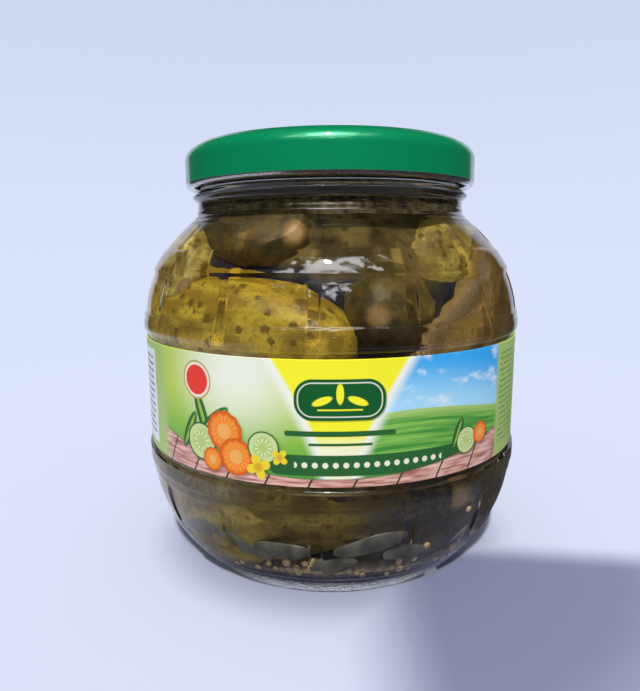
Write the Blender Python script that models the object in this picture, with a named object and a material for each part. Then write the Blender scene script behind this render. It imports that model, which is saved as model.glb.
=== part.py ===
"""Round glass jar of whole pickles, shut with a twist-off metal lid.

The glass is blown in the form of a small barrel: a raised hoop round the shoulder, ridges above and
below the label, and recessed staves between them with a groove at every joint. Metres, +Z up, the
origin at the middle of the base. The front of the label faces -Y.
"""

import math
import random

import bmesh
import bpy
from mathutils import Matrix, Vector

MM = 0.001

# ---- glass: the barrel ---------------------------------------------------------------------------
BARREL_R = 60.5 * MM  # where the barrel is widest
HEEL_TOP_Z = 33.0 * MM  # the heel is the part of an ellipse below this height
HEEL_RISE = 50.0 * MM
SHOULDER_Z = 75.5 * MM  # the shoulder is the part of an ellipse above this height
SHOULDER_RISE = 43.7 * MM
WALL = 2.8 * MM

# ---- glass: base, neck and mouth -----------------------------------------------------------------
FOOT_R = 45.7 * MM  # outer edge of the flat ring that the jar stands on
FOOT_WIDTH = 2.6 * MM
FOOT_ROUNDING = 0.7 * MM
PUSH_UP = 2.6 * MM  # how far the middle of the base is pushed up
PUSH_UP_R = 30.0 * MM
FLOOR_Z = 6.0 * MM  # the inside's floor
FLOOR_ROUNDING = 6.0 * MM
NECK_R = 42.5 * MM
NECK_BLEND = 1.6 * MM
NECK_BREAK_Z = 107.2 * MM  # where the shoulder turns into the neck
NECK_WALL = 3.1 * MM
BEAD_Z = 112.7 * MM
BEAD_HALF = 1.9 * MM
BEAD_PROUD = 1.6 * MM
FINISH_R = 41.7 * MM  # the wall that the lid screws on to
FINISH_Z = 115.2 * MM
MOUTH_Z = 125.7 * MM
LIP_ROUNDING = 0.7 * MM

# ---- glass: relief -------------------------------------------------------------------------------
STAVES = 15
STAVE_TURN = math.radians(-4.0)  # the groove nearest the front, to the left of it
GROOVE_HALF_ANGLE = math.radians(1.8)
GROOVE_DEPTH = 0.7 * MM
STEP = 1.0 * MM  # height over which a recess or a ridge rises
# the columns of points across one stave: the groove's edges, its middle and two on the stave
STAVE_COLUMNS = [math.radians(a) for a in (-1.8, 0.0, 1.8, 9.0, 15.0)]
LOWER_STAVES = (14.9 * MM, 28.9 * MM)
LOWER_RECESS = 0.3 * MM
UPPER_STAVES = (78.0 * MM, 89.9 * MM)
UPPER_RECESS = 0.5 * MM
SHOULDER_GROOVES = (97.2 * MM, 104.0 * MM)
SHOULDER_GROOVE_DEPTH = 0.3 * MM
LABEL_PANEL = (36.3 * MM, 72.1 * MM)
PANEL_RECESS = 0.8 * MM
LOWER_RIDGE_Z = 34.0 * MM
LOWER_RIDGE_HALF = 3.2 * MM
UPPER_RIDGE_Z = 74.5 * MM
UPPER_RIDGE_HALF = 2.0 * MM
RIDGE_PROUD = 0.4 * MM
RING_SPACING = 6.5 * MM  # the largest height between rings of points

# ---- label ---------------------------------------------------------------------------------------
TOUCH_GAP = 0.3 * MM  # between pieces that touch
LABEL_THICK = 0.3 * MM
LABEL_Z = (38.0 * MM, 70.5 * MM)

# ---- lid -----------------------------------------------------------------------------------------
LID_COLUMNS = 42
LID_R = 46.1 * MM
LID_SHEET = 0.8 * MM
LID_BOTTOM_Z = 115.1 * MM
LID_TOP_Z = 127.8 * MM
LID_SHOULDER = 4.2 * MM  # radius of the rolled shoulder
SHOULDER_DROP = 0.4 * MM  # the shoulder starts this far below the crest
SHOULDER_TURNS = [math.radians(a) for a in (28.0, 48.7, 69.3, 90.0)]  # from straight up
CREST_R = 41.9 * MM
CREST_WIDTH = 1.5 * MM
CHANNEL_R = 38.2 * MM  # inner edge of the sealed channel that sits on the glass
GROOVE_WIDTH = 1.8 * MM  # the pressed groove between the panel and the crest
GROOVE_DROP = 0.5 * MM
PANEL_DROP = 1.1 * MM  # the lid's flat middle lies this far below its crest
BUTTON_R = 13.0 * MM
BUTTON_EDGE = 1.5 * MM
BUTTON_RISE = 0.4 * MM
BUTTON_CROWN = 0.1 * MM
CURL_R = 1.35 * MM  # the skirt's lower edge is rolled inwards round this radius
CURL_TURNS = [math.radians(a) for a in (0.0, 40.0, 90.0, 140.0, 180.0)]  # from outwards to inwards
CURL_LIP = 0.7 * MM  # how far the curl's inner edge stands up
LUGS = 6
LUG_COLUMNS = 2
LUG_REACH = 1.0 * MM

# ---- contents ------------------------------------------------------------------------------------
PACK_GAP = 0.5 * MM  # between the contents and the glass
PACK_GAP_STEP = 0.06 * MM  # each piece lies this much deeper than the one before, so no faces coincide
PACK_TOP_Z = 107.2 * MM  # the brine stands a little higher, in the neck
CORE_INSET = 9.0 * MM  # how far the pickles stand out from the core
CORE_BOTTOM_Z = 11.0 * MM
CORE_TOP_Z = 106.0 * MM
CORE_COLUMNS = 24
CORE_RINGS = 8
PICKLE_SIDES = 12
PICKLE_RINGS = 9
PICKLE_FULLNESS = (3.2, 0.55)  # powers that make the ends blunt
PICKLE_TAPER = 0.06  # the far end is thinner than the middle by this share
# name, middle (x, y, z), direction of its long axis (x, y, z), length, thickness, bend; all in mm
PICKLES = [
    ("front_left", (-30.5, -18.5, 71.8), (0.70, -0.71, 0.02), 100, 38, -6),
    ("front_end", (13, -17, 79), (-0.04, -1.0, 0.03), 78, 29, 2),
    ("right_slanted", (33, -28, 70.5), (0.62, 0.45, 0.62), 84, 34, 3),
    ("upper_right", (29, -4, 91), (-0.22, -1.0, -0.06), 72, 27, 3),
    ("upper_left", (-26, -11, 95), (0.46, -0.88, 0.12), 76, 32, 2),
    ("left", (-38, 4, 88), (0.0, 1.0, 0.05), 84, 28, -2),
    ("back", (3, 33, 88), (1.0, -0.08, -0.06), 84, 38, -4),
    ("back_right", (39, 20, 72), (-0.45, 1.0, -0.35), 72, 33, -3),
    ("back_left", (-26, 33, 55), (0.75, 0.66, 0.25), 80, 35, 3),
    ("low_front", (-6, -36, 28), (1.0, 0.12, 0.04), 86, 36, 4),
    ("low_right", (38, -2, 27), (0.10, 1.0, -0.05), 80, 34, 3),
    ("low_back", (0, 38, 27), (1.0, -0.10, 0.05), 84, 36, -4),
    ("low_left", (-39, 2, 29), (-0.08, 1.0, 0.08), 74, 33, 4),
]
# angle from the front in degrees, height of the middle in mm, slope, length in mm
ONIONS = [
    (-42, 19, 0.30, 15), (-26, 17.5, -0.30, 17), (-14, 18, 0.0, 15), (1, 13.5, 0.10, 12),
    (11, 20, 0.15, 20), (24, 15, -0.20, 17), (48, 17, 0.30, 18), (85, 15, -0.20, 19),
    (125, 14, 0.25, 19), (170, 16, -0.10, 18), (215, 14, 0.20, 19), (258, 16, -0.30, 18),
]
ONION_WIDTH = 5.5 * MM
ONION_THICK = 1.6 * MM
ONION_STEPS = 5
ONION_POINT = 0.45  # width at a strip's ends, as a share of its middle
# angle from the front in degrees and height in mm of the seeds that lie apart
SEED_SPOTS = [(-41.6, 20.5), (-13.3, 13.4), (-7.0, 11.6), (-3.4, 11.8), (29.2, 16.5), (42.9, 24.5)]
SEEDS = 22  # the rest, in the lowest corner
SEED_R = 1.1 * MM
SEED_BED = 7.0 * MM  # depth of the layer of seeds on the floor
RANDOM_SEED = 7


def clear_objects():
    for obj in list(bpy.data.objects):
        bpy.data.objects.remove(obj, do_unlink=True)


def smooth_step(t):
    t = min(max(t, 0.0), 1.0)
    return t * t * (3.0 - 2.0 * t)


def within(z, span):
    """1 inside the span of heights, 0 outside it, with a rise of STEP at each end."""
    low, high = span
    return smooth_step((z - low) / STEP + 0.5) * smooth_step((high - z) / STEP + 0.5)


def ellipse(radius, rise, dz):
    return radius * math.sqrt(max(0.0, 1.0 - (dz / rise) ** 2))


def smooth_max(a, b, blend):
    return 0.5 * (a + b + math.hypot(a - b, blend))


def barrel_radius(z, inset=0.0):
    """The barrel and neck with no relief, moved inwards by inset."""
    radius = BARREL_R - inset
    if z < HEEL_TOP_Z:
        return ellipse(radius, HEEL_RISE - inset, HEEL_TOP_Z - z)
    if z > SHOULDER_Z:
        radius = ellipse(radius, SHOULDER_RISE - inset, z - SHOULDER_Z)
    return radius


def outer_radius(z, groove=0.0):
    """The glass's outside; groove runs from 0 on a stave to 1 in the middle of a groove."""
    body = barrel_radius(z)
    body -= LOWER_RECESS * within(z, LOWER_STAVES) + UPPER_RECESS * within(z, UPPER_STAVES)
    body -= PANEL_RECESS * within(z, LABEL_PANEL)
    body += RIDGE_PROUD * smooth_step(1.0 - abs(z - LOWER_RIDGE_Z) / LOWER_RIDGE_HALF)
    body += RIDGE_PROUD * smooth_step(1.0 - abs(z - UPPER_RIDGE_Z) / UPPER_RIDGE_HALF)
    grooved = GROOVE_DEPTH * max(within(z, LOWER_STAVES), within(z, UPPER_STAVES))
    body -= groove * (grooved + SHOULDER_GROOVE_DEPTH * within(z, SHOULDER_GROOVES))
    neck = NECK_R - (NECK_R - FINISH_R) * smooth_step((z - BEAD_Z) / (FINISH_Z - BEAD_Z))
    neck += BEAD_PROUD * smooth_step(1.0 - abs(z - BEAD_Z) / BEAD_HALF)
    return smooth_max(body, neck, NECK_BLEND) if z > SHOULDER_Z else body


def inner_radius(z):
    """The glass's inside wall, rounded into the floor and the neck."""
    body = barrel_radius(z, WALL)
    corner = FLOOR_ROUNDING - (z - FLOOR_Z)
    if corner > 0.0:
        body -= FLOOR_ROUNDING - math.sqrt(max(0.0, FLOOR_ROUNDING**2 - corner**2))
    neck = NECK_R - NECK_WALL
    return smooth_max(body, neck, NECK_BLEND) if z > SHOULDER_Z else body


def heights_between(low, high):
    """Evenly spaced heights from low up to but not at high, no further apart than RING_SPACING."""
    count = max(1, math.ceil((high - low) / RING_SPACING))
    return [low + (high - low) * i / count for i in range(count)]


def outer_heights():
    """Heights of the outside's rings of points: both ends of every step, and between them."""
    breaks = []
    for span in (LOWER_STAVES, UPPER_STAVES, SHOULDER_GROOVES, LABEL_PANEL):
        for z in span:
            breaks += [z - 0.5 * STEP, z + 0.5 * STEP]
    breaks += [LOWER_RIDGE_Z, UPPER_RIDGE_Z, FOOT_ROUNDING, NECK_BREAK_Z]
    breaks += [BEAD_Z - BEAD_HALF, BEAD_Z, BEAD_Z + BEAD_HALF]
    breaks = sorted(breaks)
    heights = []
    for low, high in zip(breaks, breaks[1:]):
        panel = LABEL_PANEL[0] < 0.5 * (low + high) < LABEL_PANEL[1]
        heights += [low] if panel else heights_between(low, high)
    return heights + [breaks[-1]]


def inner_heights():
    """Heights of the inside's rings of points from the neck down, closer where it curves more."""
    neck = [NECK_BREAK_Z + step * MM for step in (1.8, -0.9, -3.6)]
    shoulder = [SHOULDER_Z + part * (NECK_BREAK_Z - SHOULDER_Z) for part in (0.77, 0.62, 0.43, 0.24)]
    heel = [HEEL_TOP_Z - part * (HEEL_TOP_Z - FLOOR_Z) for part in (0.0, 0.26, 0.52)]
    corner = [FLOOR_Z + part * FLOOR_ROUNDING for part in (1.0, 0.4, 0.1)]
    return neck + shoulder + [SHOULDER_Z] + heel + corner


def stave_angles():
    """Angles of the points round the glass, and how deep each lies in a groove."""
    angles = []
    for stave in range(STAVES):
        for column in STAVE_COLUMNS:
            depth = max(0.0, 1.0 - abs(column) / GROOVE_HALF_ANGLE)
            angles.append((STAVE_TURN + stave * math.tau / STAVES + column, depth))
    return angles


def at_angle(radius, angle, z):
    """A point at an angle measured from the front (-Y), positive to the right (+X)."""
    return Vector((radius * math.sin(angle), -radius * math.cos(angle), z))


def new_object(name, mesh, material, smooth_angle=math.radians(35.0)):
    obj = bpy.data.objects.new(name, mesh)
    bpy.context.scene.collection.objects.link(obj)
    mesh.materials.append(material)
    mesh.shade_smooth()
    mesh.set_sharp_from_angle(angle=smooth_angle)
    return obj


def make_material(name, colour, roughness, metallic=0.0, transmission=0.0):
    material = bpy.data.materials.new(name)
    material.use_nodes = True
    shader = material.node_tree.nodes["Principled BSDF"]
    shader.inputs["Base Color"].default_value = (*colour, 1.0)
    shader.inputs["Roughness"].default_value = roughness
    shader.inputs["Metallic"].default_value = metallic
    shader.inputs["Transmission Weight"].default_value = transmission
    return material


def skin_rings(bm, rings, closed_loop=False):
    """Join successive rings of points. A ring of one point closes the surface with a fan."""
    pairs = list(zip(rings, rings[1:]))
    if closed_loop:
        pairs.append((rings[-1], rings[0]))
    for lower, upper in pairs:
        count = max(len(lower), len(upper))
        for i in range(count):
            j = (i + 1) % count
            if len(lower) == 1:
                bm.faces.new((lower[0], upper[j], upper[i]))
            elif len(upper) == 1:
                bm.faces.new((lower[i], lower[j], upper[0]))
            else:
                bm.faces.new((lower[i], lower[j], upper[j], upper[i]))


def finish_mesh(bm, name):
    bmesh.ops.recalc_face_normals(bm, faces=bm.faces)
    bmesh.ops.triangulate(bm, faces=bm.faces)
    mesh = bpy.data.meshes.new(name)
    bm.to_mesh(mesh)
    bm.free()
    return mesh


def make_glass():
    """The open jar: base and outside from below, over the lip, and the inside back down."""
    angles = stave_angles()
    bm = bmesh.new()

    def ring(radius, z, grooved=False):
        points = []
        for angle, depth in angles:
            r = outer_radius(z, depth) if grooved else radius
            points.append(bm.verts.new(at_angle(r, angle, z)))
        return points

    rings = [[bm.verts.new((0.0, 0.0, PUSH_UP))]]
    rings.append(ring(PUSH_UP_R, 0.8 * PUSH_UP))
    rings.append(ring(FOOT_R - FOOT_WIDTH, 0.0))
    rings.append(ring(FOOT_R, 0.0))
    rings += [ring(0.0, z, grooved=True) for z in outer_heights()]
    rings.append(ring(FINISH_R, MOUTH_Z - LIP_ROUNDING))
    rings.append(ring(FINISH_R - LIP_ROUNDING, MOUTH_Z))
    inside_r = NECK_R - NECK_WALL
    rings.append(ring(inside_r + LIP_ROUNDING, MOUTH_Z))
    rings.append(ring(inside_r, MOUTH_Z - LIP_ROUNDING))
    rings += [ring(inner_radius(z), z) for z in inner_heights()]
    rings.append(ring(inner_radius(FLOOR_Z), FLOOR_Z))
    rings.append(ring(PUSH_UP_R, FLOOR_Z + 0.4 * PUSH_UP))
    rings.append([bm.verts.new((0.0, 0.0, FLOOR_Z + 0.6 * PUSH_UP))])
    skin_rings(bm, rings)
    material = make_material("clear_glass", (0.93, 0.95, 0.96), 0.02, transmission=1.0)
    return new_object("jar_glass", finish_mesh(bm, "jar_glass"), material)


def make_label():
    """A thin printed band that goes all round in the recess between the ridges."""
    inner = outer_radius(0.5 * sum(LABEL_Z)) + TOUCH_GAP
    outer = inner + LABEL_THICK
    bm = bmesh.new()
    corners = [(inner, LABEL_Z[0]), (outer, LABEL_Z[0]), (outer, LABEL_Z[1]), (inner, LABEL_Z[1])]
    rings = []
    for radius, z in corners:
        rings.append([bm.verts.new(at_angle(radius, angle, z)) for angle, _ in stave_angles()])
    skin_rings(bm, rings, closed_loop=True)
    material = make_material("printed_paper", (0.25, 0.52, 0.20), 0.35)
    return new_object("label", finish_mesh(bm, "label"), material)


def lug_reach(column):
    """How far a column of the lid's curl is pressed inwards: LUGS lugs, evenly spaced."""
    spacing = LID_COLUMNS // LUGS
    return LUG_REACH if column % spacing < LUG_COLUMNS else 0.0


def make_lid():
    """The pressed lid: button, flat panel, crest over the glass, skirt, and a curl with lugs."""
    panel_z = LID_TOP_Z - PANEL_DROP
    groove_r = CHANNEL_R - 0.5 * LID_SHEET
    shoulder_r = LID_R - LID_SHOULDER
    shoulder_z = LID_TOP_Z - SHOULDER_DROP - LID_SHOULDER
    curl_r = LID_R - CURL_R
    curl_z = LID_BOTTOM_Z + CURL_R
    outside = [
        (BUTTON_R, panel_z + BUTTON_RISE),
        (BUTTON_R + BUTTON_EDGE, panel_z),
        (groove_r - GROOVE_WIDTH, panel_z),
        (groove_r, panel_z - GROOVE_DROP),
        (CREST_R - CREST_WIDTH, LID_TOP_Z - SHOULDER_DROP),
        (CREST_R, LID_TOP_Z),
    ]
    for turn in SHOULDER_TURNS:
        r = shoulder_r + LID_SHOULDER * math.sin(turn)
        outside.append((r, shoulder_z + LID_SHOULDER * math.cos(turn)))
    curl = [(curl_r + CURL_R * math.cos(t), curl_z - CURL_R * math.sin(t)) for t in CURL_TURNS]
    curl.append((curl_r - CURL_R, curl_z + CURL_LIP))
    inside = [
        (LID_R - LID_SHEET, curl_z + CURL_R),
        (LID_R - LID_SHEET, shoulder_z),
        (shoulder_r + 0.7 * (LID_SHOULDER - LID_SHEET), shoulder_z + 0.7 * (LID_SHOULDER - LID_SHEET)),
        (shoulder_r + LID_SHEET, MOUTH_Z + TOUCH_GAP),
        (CHANNEL_R, MOUTH_Z + TOUCH_GAP),
        (groove_r, panel_z - GROOVE_DROP - LID_SHEET),
        (groove_r - GROOVE_WIDTH, panel_z - LID_SHEET),
    ]
    bm = bmesh.new()

    def ring(radius, z, pressed=0.0):
        points = []
        for column in range(LID_COLUMNS):
            r = radius - pressed * lug_reach(column)
            points.append(bm.verts.new(at_angle(r, column * math.tau / LID_COLUMNS, z)))
        return points

    rings = [[bm.verts.new((0.0, 0.0, panel_z + BUTTON_RISE + BUTTON_CROWN))]]
    rings += [ring(r, z) for r, z in outside]
    for r, z in curl:
        rings.append(ring(r, z, pressed=smooth_step((LID_R - r) / CURL_R - 0.5)))
    rings += [ring(r, z) for r, z in inside]
    rings.append([bm.verts.new((0.0, 0.0, panel_z - LID_SHEET))])
    skin_rings(bm, rings)
    material = make_material("green_lacquer", (0.0, 0.23, 0.09), 0.25, metallic=0.3)
    return new_object("lid", finish_mesh(bm, "lid"), material)


def pack_inside(point, layer):
    """Press a point of the contents in where it would come too close to the glass."""
    gap = PACK_GAP + layer * PACK_GAP_STEP
    z = min(max(point.z, FLOOR_Z + PUSH_UP + gap), PACK_TOP_Z - gap + PACK_GAP)
    limit = inner_radius(z) - gap
    radius = math.hypot(point.x, point.y)
    shrink = min(1.0, limit / max(radius, MM))
    return Vector((point.x * shrink, point.y * shrink, z))


def make_core():
    """What lies deep inside the pack: a plain turned body under the pickles that show."""
    bm = bmesh.new()
    rings = [[bm.verts.new((0.0, 0.0, CORE_BOTTOM_Z))]]
    for i in range(CORE_RINGS + 1):
        z = CORE_BOTTOM_Z + (CORE_TOP_Z - CORE_BOTTOM_Z) * i / CORE_RINGS
        radius = inner_radius(max(z, FLOOR_Z + FLOOR_ROUNDING)) - CORE_INSET
        turn = math.tau / CORE_COLUMNS
        rings.append([bm.verts.new(at_angle(radius, k * turn, z)) for k in range(CORE_COLUMNS)])
    rings.append([bm.verts.new((0.0, 0.0, CORE_TOP_Z))])
    skin_rings(bm, rings)
    return finish_mesh(bm, "core")


def pickle_radius(along, thickness):
    """Half thickness at along, which runs from -1 at one end to 1 at the other."""
    inner, outer = PICKLE_FULLNESS
    return 0.5 * thickness * (1.0 - abs(along) ** inner) ** outer * (1.0 - PICKLE_TAPER * along)


def make_pickle(layer, name, middle, direction, length, thickness, bend):
    axis = Vector(direction).normalized()
    frame = axis.to_track_quat("Z", "Y").to_matrix()
    middle = Vector(middle) * MM
    bm = bmesh.new()

    def place(across, angle, along):
        bow = bend * MM * (1.0 - along * along)
        lift = 0.5 * length * MM * along
        local = Vector((across * math.cos(angle) + bow, across * math.sin(angle), lift))
        return bm.verts.new(pack_inside(middle + frame @ local, layer))

    rings = [[place(0.0, 0.0, -1.0)]]
    for i in range(1, PICKLE_RINGS):
        along = -math.cos(math.pi * i / PICKLE_RINGS)
        across = pickle_radius(along, thickness) * MM
        rings.append([place(across, k * math.tau / PICKLE_SIDES, along) for k in range(PICKLE_SIDES)])
    rings.append([place(0.0, 0.0, 1.0)])
    skin_rings(bm, rings)
    return finish_mesh(bm, name)


def make_onion_strip(index, degrees, height, slope, length):
    """A curved strip of onion that lies against the glass near the base."""
    angle, z = math.radians(degrees), height * MM
    radius = inner_radius(z)
    bm = bmesh.new()
    rings = []
    for i in range(ONION_STEPS + 1):
        along = length * MM * (i / ONION_STEPS - 0.5)
        arch = math.sin(math.pi * (i + 0.5) / (ONION_STEPS + 1))
        taper = ONION_POINT + (1.0 - ONION_POINT) * arch
        section = []
        for across, depth in ((-0.5, 0.0), (0.5, 0.0), (0.5, 1.0), (-0.5, 1.0)):
            up = across * ONION_WIDTH * taper + along * slope
            point = at_angle(radius, angle + along / radius, z + up)
            layers = index + depth * ONION_THICK / PACK_GAP_STEP
            section.append(bm.verts.new(pack_inside(point, layers)))
        rings.append(section)
    skin_rings(bm, rings)
    bm.faces.new(reversed(rings[0]))
    bm.faces.new(rings[-1])
    return finish_mesh(bm, "onion")


def seed_places():
    """Where the mustard seeds are: some apart, the rest settled in the lowest corner of the jar."""
    draw = random.Random(RANDOM_SEED)
    places = [(math.radians(degrees), height * MM) for degrees, height in SEED_SPOTS]
    for _ in range(SEEDS):
        angle = draw.uniform(0.0, math.tau)
        places.append((angle, FLOOR_Z + PUSH_UP + 0.5 * SEED_R + draw.random() * SEED_BED))
    return places


def make_seed(angle, z):
    radius = inner_radius(z) - PACK_GAP - 1.3 * SEED_R
    bm = bmesh.new()
    bmesh.ops.create_uvsphere(bm, u_segments=5, v_segments=4, radius=SEED_R)
    bmesh.ops.rotate(bm, matrix=Matrix.Rotation(angle, 3, "Z"), verts=bm.verts)
    bmesh.ops.translate(bm, vec=at_angle(radius, angle, z), verts=bm.verts)
    return finish_mesh(bm, "seed")


def make_pickles():
    """The whole packed contents as one solid: core, pickles, onion and seeds, fused."""
    meshes = [make_pickle(i, *values) for i, values in enumerate(PICKLES)]
    meshes += [make_onion_strip(i, *values) for i, values in enumerate(ONIONS)]
    meshes += [make_seed(*place) for place in seed_places()]
    pieces = bpy.data.collections.new("pieces")
    bpy.context.scene.collection.children.link(pieces)
    for mesh in meshes:
        pieces.objects.link(bpy.data.objects.new(mesh.name, mesh))
    material = make_material("pickle_skin", (0.20, 0.19, 0.03), 0.4)
    heap = new_object("pickles", make_core(), material)
    union = heap.modifiers.new("fuse", "BOOLEAN")
    union.operation = "UNION"
    union.operand_type = "COLLECTION"
    union.collection = pieces
    union.solver = "EXACT"
    evaluated = heap.evaluated_get(bpy.context.evaluated_depsgraph_get())
    fused = bpy.data.meshes.new_from_object(evaluated)
    heap.modifiers.clear()
    heap.data = fused
    keep_largest_shell(fused)
    for obj in list(pieces.objects):
        bpy.data.objects.remove(obj, do_unlink=True)
    bpy.data.collections.remove(pieces)
    return heap


def keep_largest_shell(mesh):
    """Drop loose scraps and the skins of sealed hollows, and keep the outer skin."""
    bm = bmesh.new()
    bm.from_mesh(mesh)
    bmesh.ops.triangulate(bm, faces=bm.faces)
    unseen = set(bm.faces)
    shells = []
    while unseen:
        stack = [unseen.pop()]
        shell = []
        while stack:
            face = stack.pop()
            shell.append(face)
            for edge in face.edges:
                for other in edge.link_faces:
                    if other in unseen:
                        unseen.remove(other)
                        stack.append(other)
        shells.append(shell)
    shells.sort(key=len, reverse=True)
    scraps = [face for shell in shells[1:] for face in shell]
    bmesh.ops.delete(bm, geom=scraps, context="FACES")
    bm.to_mesh(mesh)
    bm.free()


def main():
    clear_objects()
    jar = bpy.data.objects.new("jar", None)
    bpy.context.scene.collection.objects.link(jar)
    for obj in (make_glass(), make_label(), make_lid(), make_pickles()):
        obj.parent = jar


main()
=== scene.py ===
"""Looks for the round jar of pickles: barrel glass, brine, pickles, printed label, lacquered lid.

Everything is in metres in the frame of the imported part: +Z up, the front of the label towards -Y.
"""

import math
import random

import bmesh
import bpy
import numpy as np
from mathutils import Matrix, Vector


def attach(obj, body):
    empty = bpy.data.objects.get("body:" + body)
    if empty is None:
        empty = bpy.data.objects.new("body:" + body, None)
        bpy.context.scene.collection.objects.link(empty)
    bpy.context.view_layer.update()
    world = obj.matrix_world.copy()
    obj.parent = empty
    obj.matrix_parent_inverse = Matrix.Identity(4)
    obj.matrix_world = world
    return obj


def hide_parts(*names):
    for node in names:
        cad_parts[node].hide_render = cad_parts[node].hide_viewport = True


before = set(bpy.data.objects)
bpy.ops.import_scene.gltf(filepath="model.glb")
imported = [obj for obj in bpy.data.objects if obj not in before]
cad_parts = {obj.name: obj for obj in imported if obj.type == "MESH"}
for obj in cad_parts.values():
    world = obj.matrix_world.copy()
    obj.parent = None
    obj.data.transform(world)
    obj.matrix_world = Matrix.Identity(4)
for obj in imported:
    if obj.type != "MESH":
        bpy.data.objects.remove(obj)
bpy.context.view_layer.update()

MM = 0.001

# ---- glass: the same driving sizes as the part ----
BARREL_R = 60.5 * MM
HEEL_TOP_Z = 33.0 * MM
HEEL_RISE = 50.0 * MM
SHOULDER_Z = 75.5 * MM
SHOULDER_RISE = 43.7 * MM
WALL = 2.8 * MM
FOOT_R = 45.7 * MM
FOOT_WIDTH = 2.6 * MM
FOOT_ROUNDING = 0.7 * MM
PUSH_UP = 2.6 * MM
PUSH_UP_R = 30.0 * MM
FLOOR_Z = 6.0 * MM
FLOOR_ROUNDING = 6.0 * MM
NECK_R = 42.5 * MM
NECK_BLEND = 1.6 * MM
NECK_WALL = 3.1 * MM
BEAD_Z = 112.7 * MM
BEAD_HALF = 1.9 * MM
BEAD_PROUD = 1.6 * MM
FINISH_R = 41.7 * MM
FINISH_Z = 115.2 * MM
MOUTH_Z = 125.7 * MM
LIP_ROUNDING = 0.7 * MM
STAVES = 15
STAVE_TURN = math.radians(-4.0)
STEP = 0.8 * MM
LOWER_STAVES = (14.9 * MM, 28.9 * MM)
LOWER_RECESS = 0.3 * MM
UPPER_STAVES = (78.0 * MM, 89.9 * MM)
UPPER_RECESS = 0.5 * MM
SHOULDER_GROOVES = (97.2 * MM, 104.0 * MM)
SHOULDER_GROOVE_DEPTH = 0.3 * MM
LABEL_PANEL = (36.3 * MM, 72.1 * MM)
PANEL_RECESS = 0.8 * MM
RIDGES = ((31.76 * MM, 36.24 * MM), (73.1 * MM, 75.9 * MM))  # under and over the label
RIDGE_PROUD = 0.4 * MM

# ---- glass: finer relief than the part carries ----
GROOVE_DEPTH = 0.7 * MM
GROOVE_HALF_ANGLE = math.radians(1.9)
GROOVE_EDGE_ANGLE = math.radians(0.6)  # over which a groove's flank falls
GROOVE_FADE = 2.4 * MM
BUSY_ROW = 0.28 * MM  # between rings of points where the relief changes
PLAIN_ROW = 1.2 * MM
WALL_ROW = 1.6 * MM
CORNER_STEPS = 8
FLOOR_RINGS = (0.15, 0.3, 0.5, 0.7, 0.85)  # as shares of the floor's radius
HOOP = (90.6 * MM, 96.4 * MM)
HOOP_PROUD = 0.3 * MM
RIPPLES_Z = [z * MM for z in (103.6, 104.9, 106.3, 108.0)]  # mould rings round the neck
RIPPLE_HALF = 0.55 * MM
RIPPLE_PROUD = 0.2 * MM
INNER_WAVE = 0.07 * MM  # the blown inside is never quite true
# columns of points across one stave, measured from the middle of its groove, in degrees
GROOVE_COLUMNS = [0.0, 0.6, 1.1, 1.3, 1.45, 1.6, 1.75, 1.9, 2.2, 3.2, 5.0, 7.5, 10.0]

# ---- label ----
LABEL_R = 60.3 * MM
LABEL_THICK = 0.5 * MM
LABEL_EDGE = 0.08 * MM
LABEL_Z = (38.0 * MM, 70.5 * MM)

# ---- lid ----
LID_COLUMNS = 216
LID_R = 46.1 * MM
LID_SHEET = 0.8 * MM
LID_BOTTOM_Z = 115.1 * MM
LID_TOP_Z = 127.8 * MM
LID_SHOULDER = 4.2 * MM
CREST_R = 41.9 * MM
CHANNEL_R = 38.2 * MM
PANEL_DROP = 1.1 * MM
BUTTON_R = 13.0 * MM
BUTTON_RISE = 0.4 * MM
SHOULDER_DROP = 0.4 * MM
TOUCH_GAP = 0.3 * MM
BUTTON_CROWN = 0.1 * MM
BUTTON_EDGE = 1.5 * MM
GROOVE_WIDTH = 1.8 * MM
GROOVE_DROP = 0.5 * MM
BARE_STEEL_Z = LID_BOTTOM_Z + 1.3 * MM  # below it the curl has no lacquer
CURL_R = 1.35 * MM
CURL_LIP = 0.7 * MM
LUGS = 6
LUG_HALF_ANGLE = math.radians(8.0)
LUG_REACH = 1.0 * MM
LINING_DEPTHS = (0.05 * MM, 0.20 * MM)

# ---- contents ----
PACK_GAP = 0.5 * MM
PACK_GAP_STEP = 0.06 * MM
PACK_TOP_Z = 107.2 * MM
BRINE_Z = 110.4 * MM
BRINE_OVERLAP = 0.2 * MM  # how far the brine reaches into the glass, so no air shows between
MENISCUS = 0.7 * MM
BRINE_COLUMNS = 180
LABEL_COLUMNS = 240
LUMP_COLUMNS = 96
CORE_INSET = 9.0 * MM
CORE_FOOT_Z = 7.9 * MM
INSIDE_REACH = 0.6 * MM
SEDIMENT_Z = 14.0 * MM
SEDIMENT_INSET = 2.4 * MM
CORE_TOP_Z = 106.0 * MM
PICKLE_SIDES = 112
PICKLE_RINGS = 128
WART_SPACING = 3.7  # this and the sizes below in mm
WART_LIFT = 0.30
RIB_LIFT = 0.22
OVAL_LIFT = 0.35
WAVE_LIFT = 0.25
MOST_LIFT = 0.9
SCAR_DIMPLE = 0.3
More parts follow.
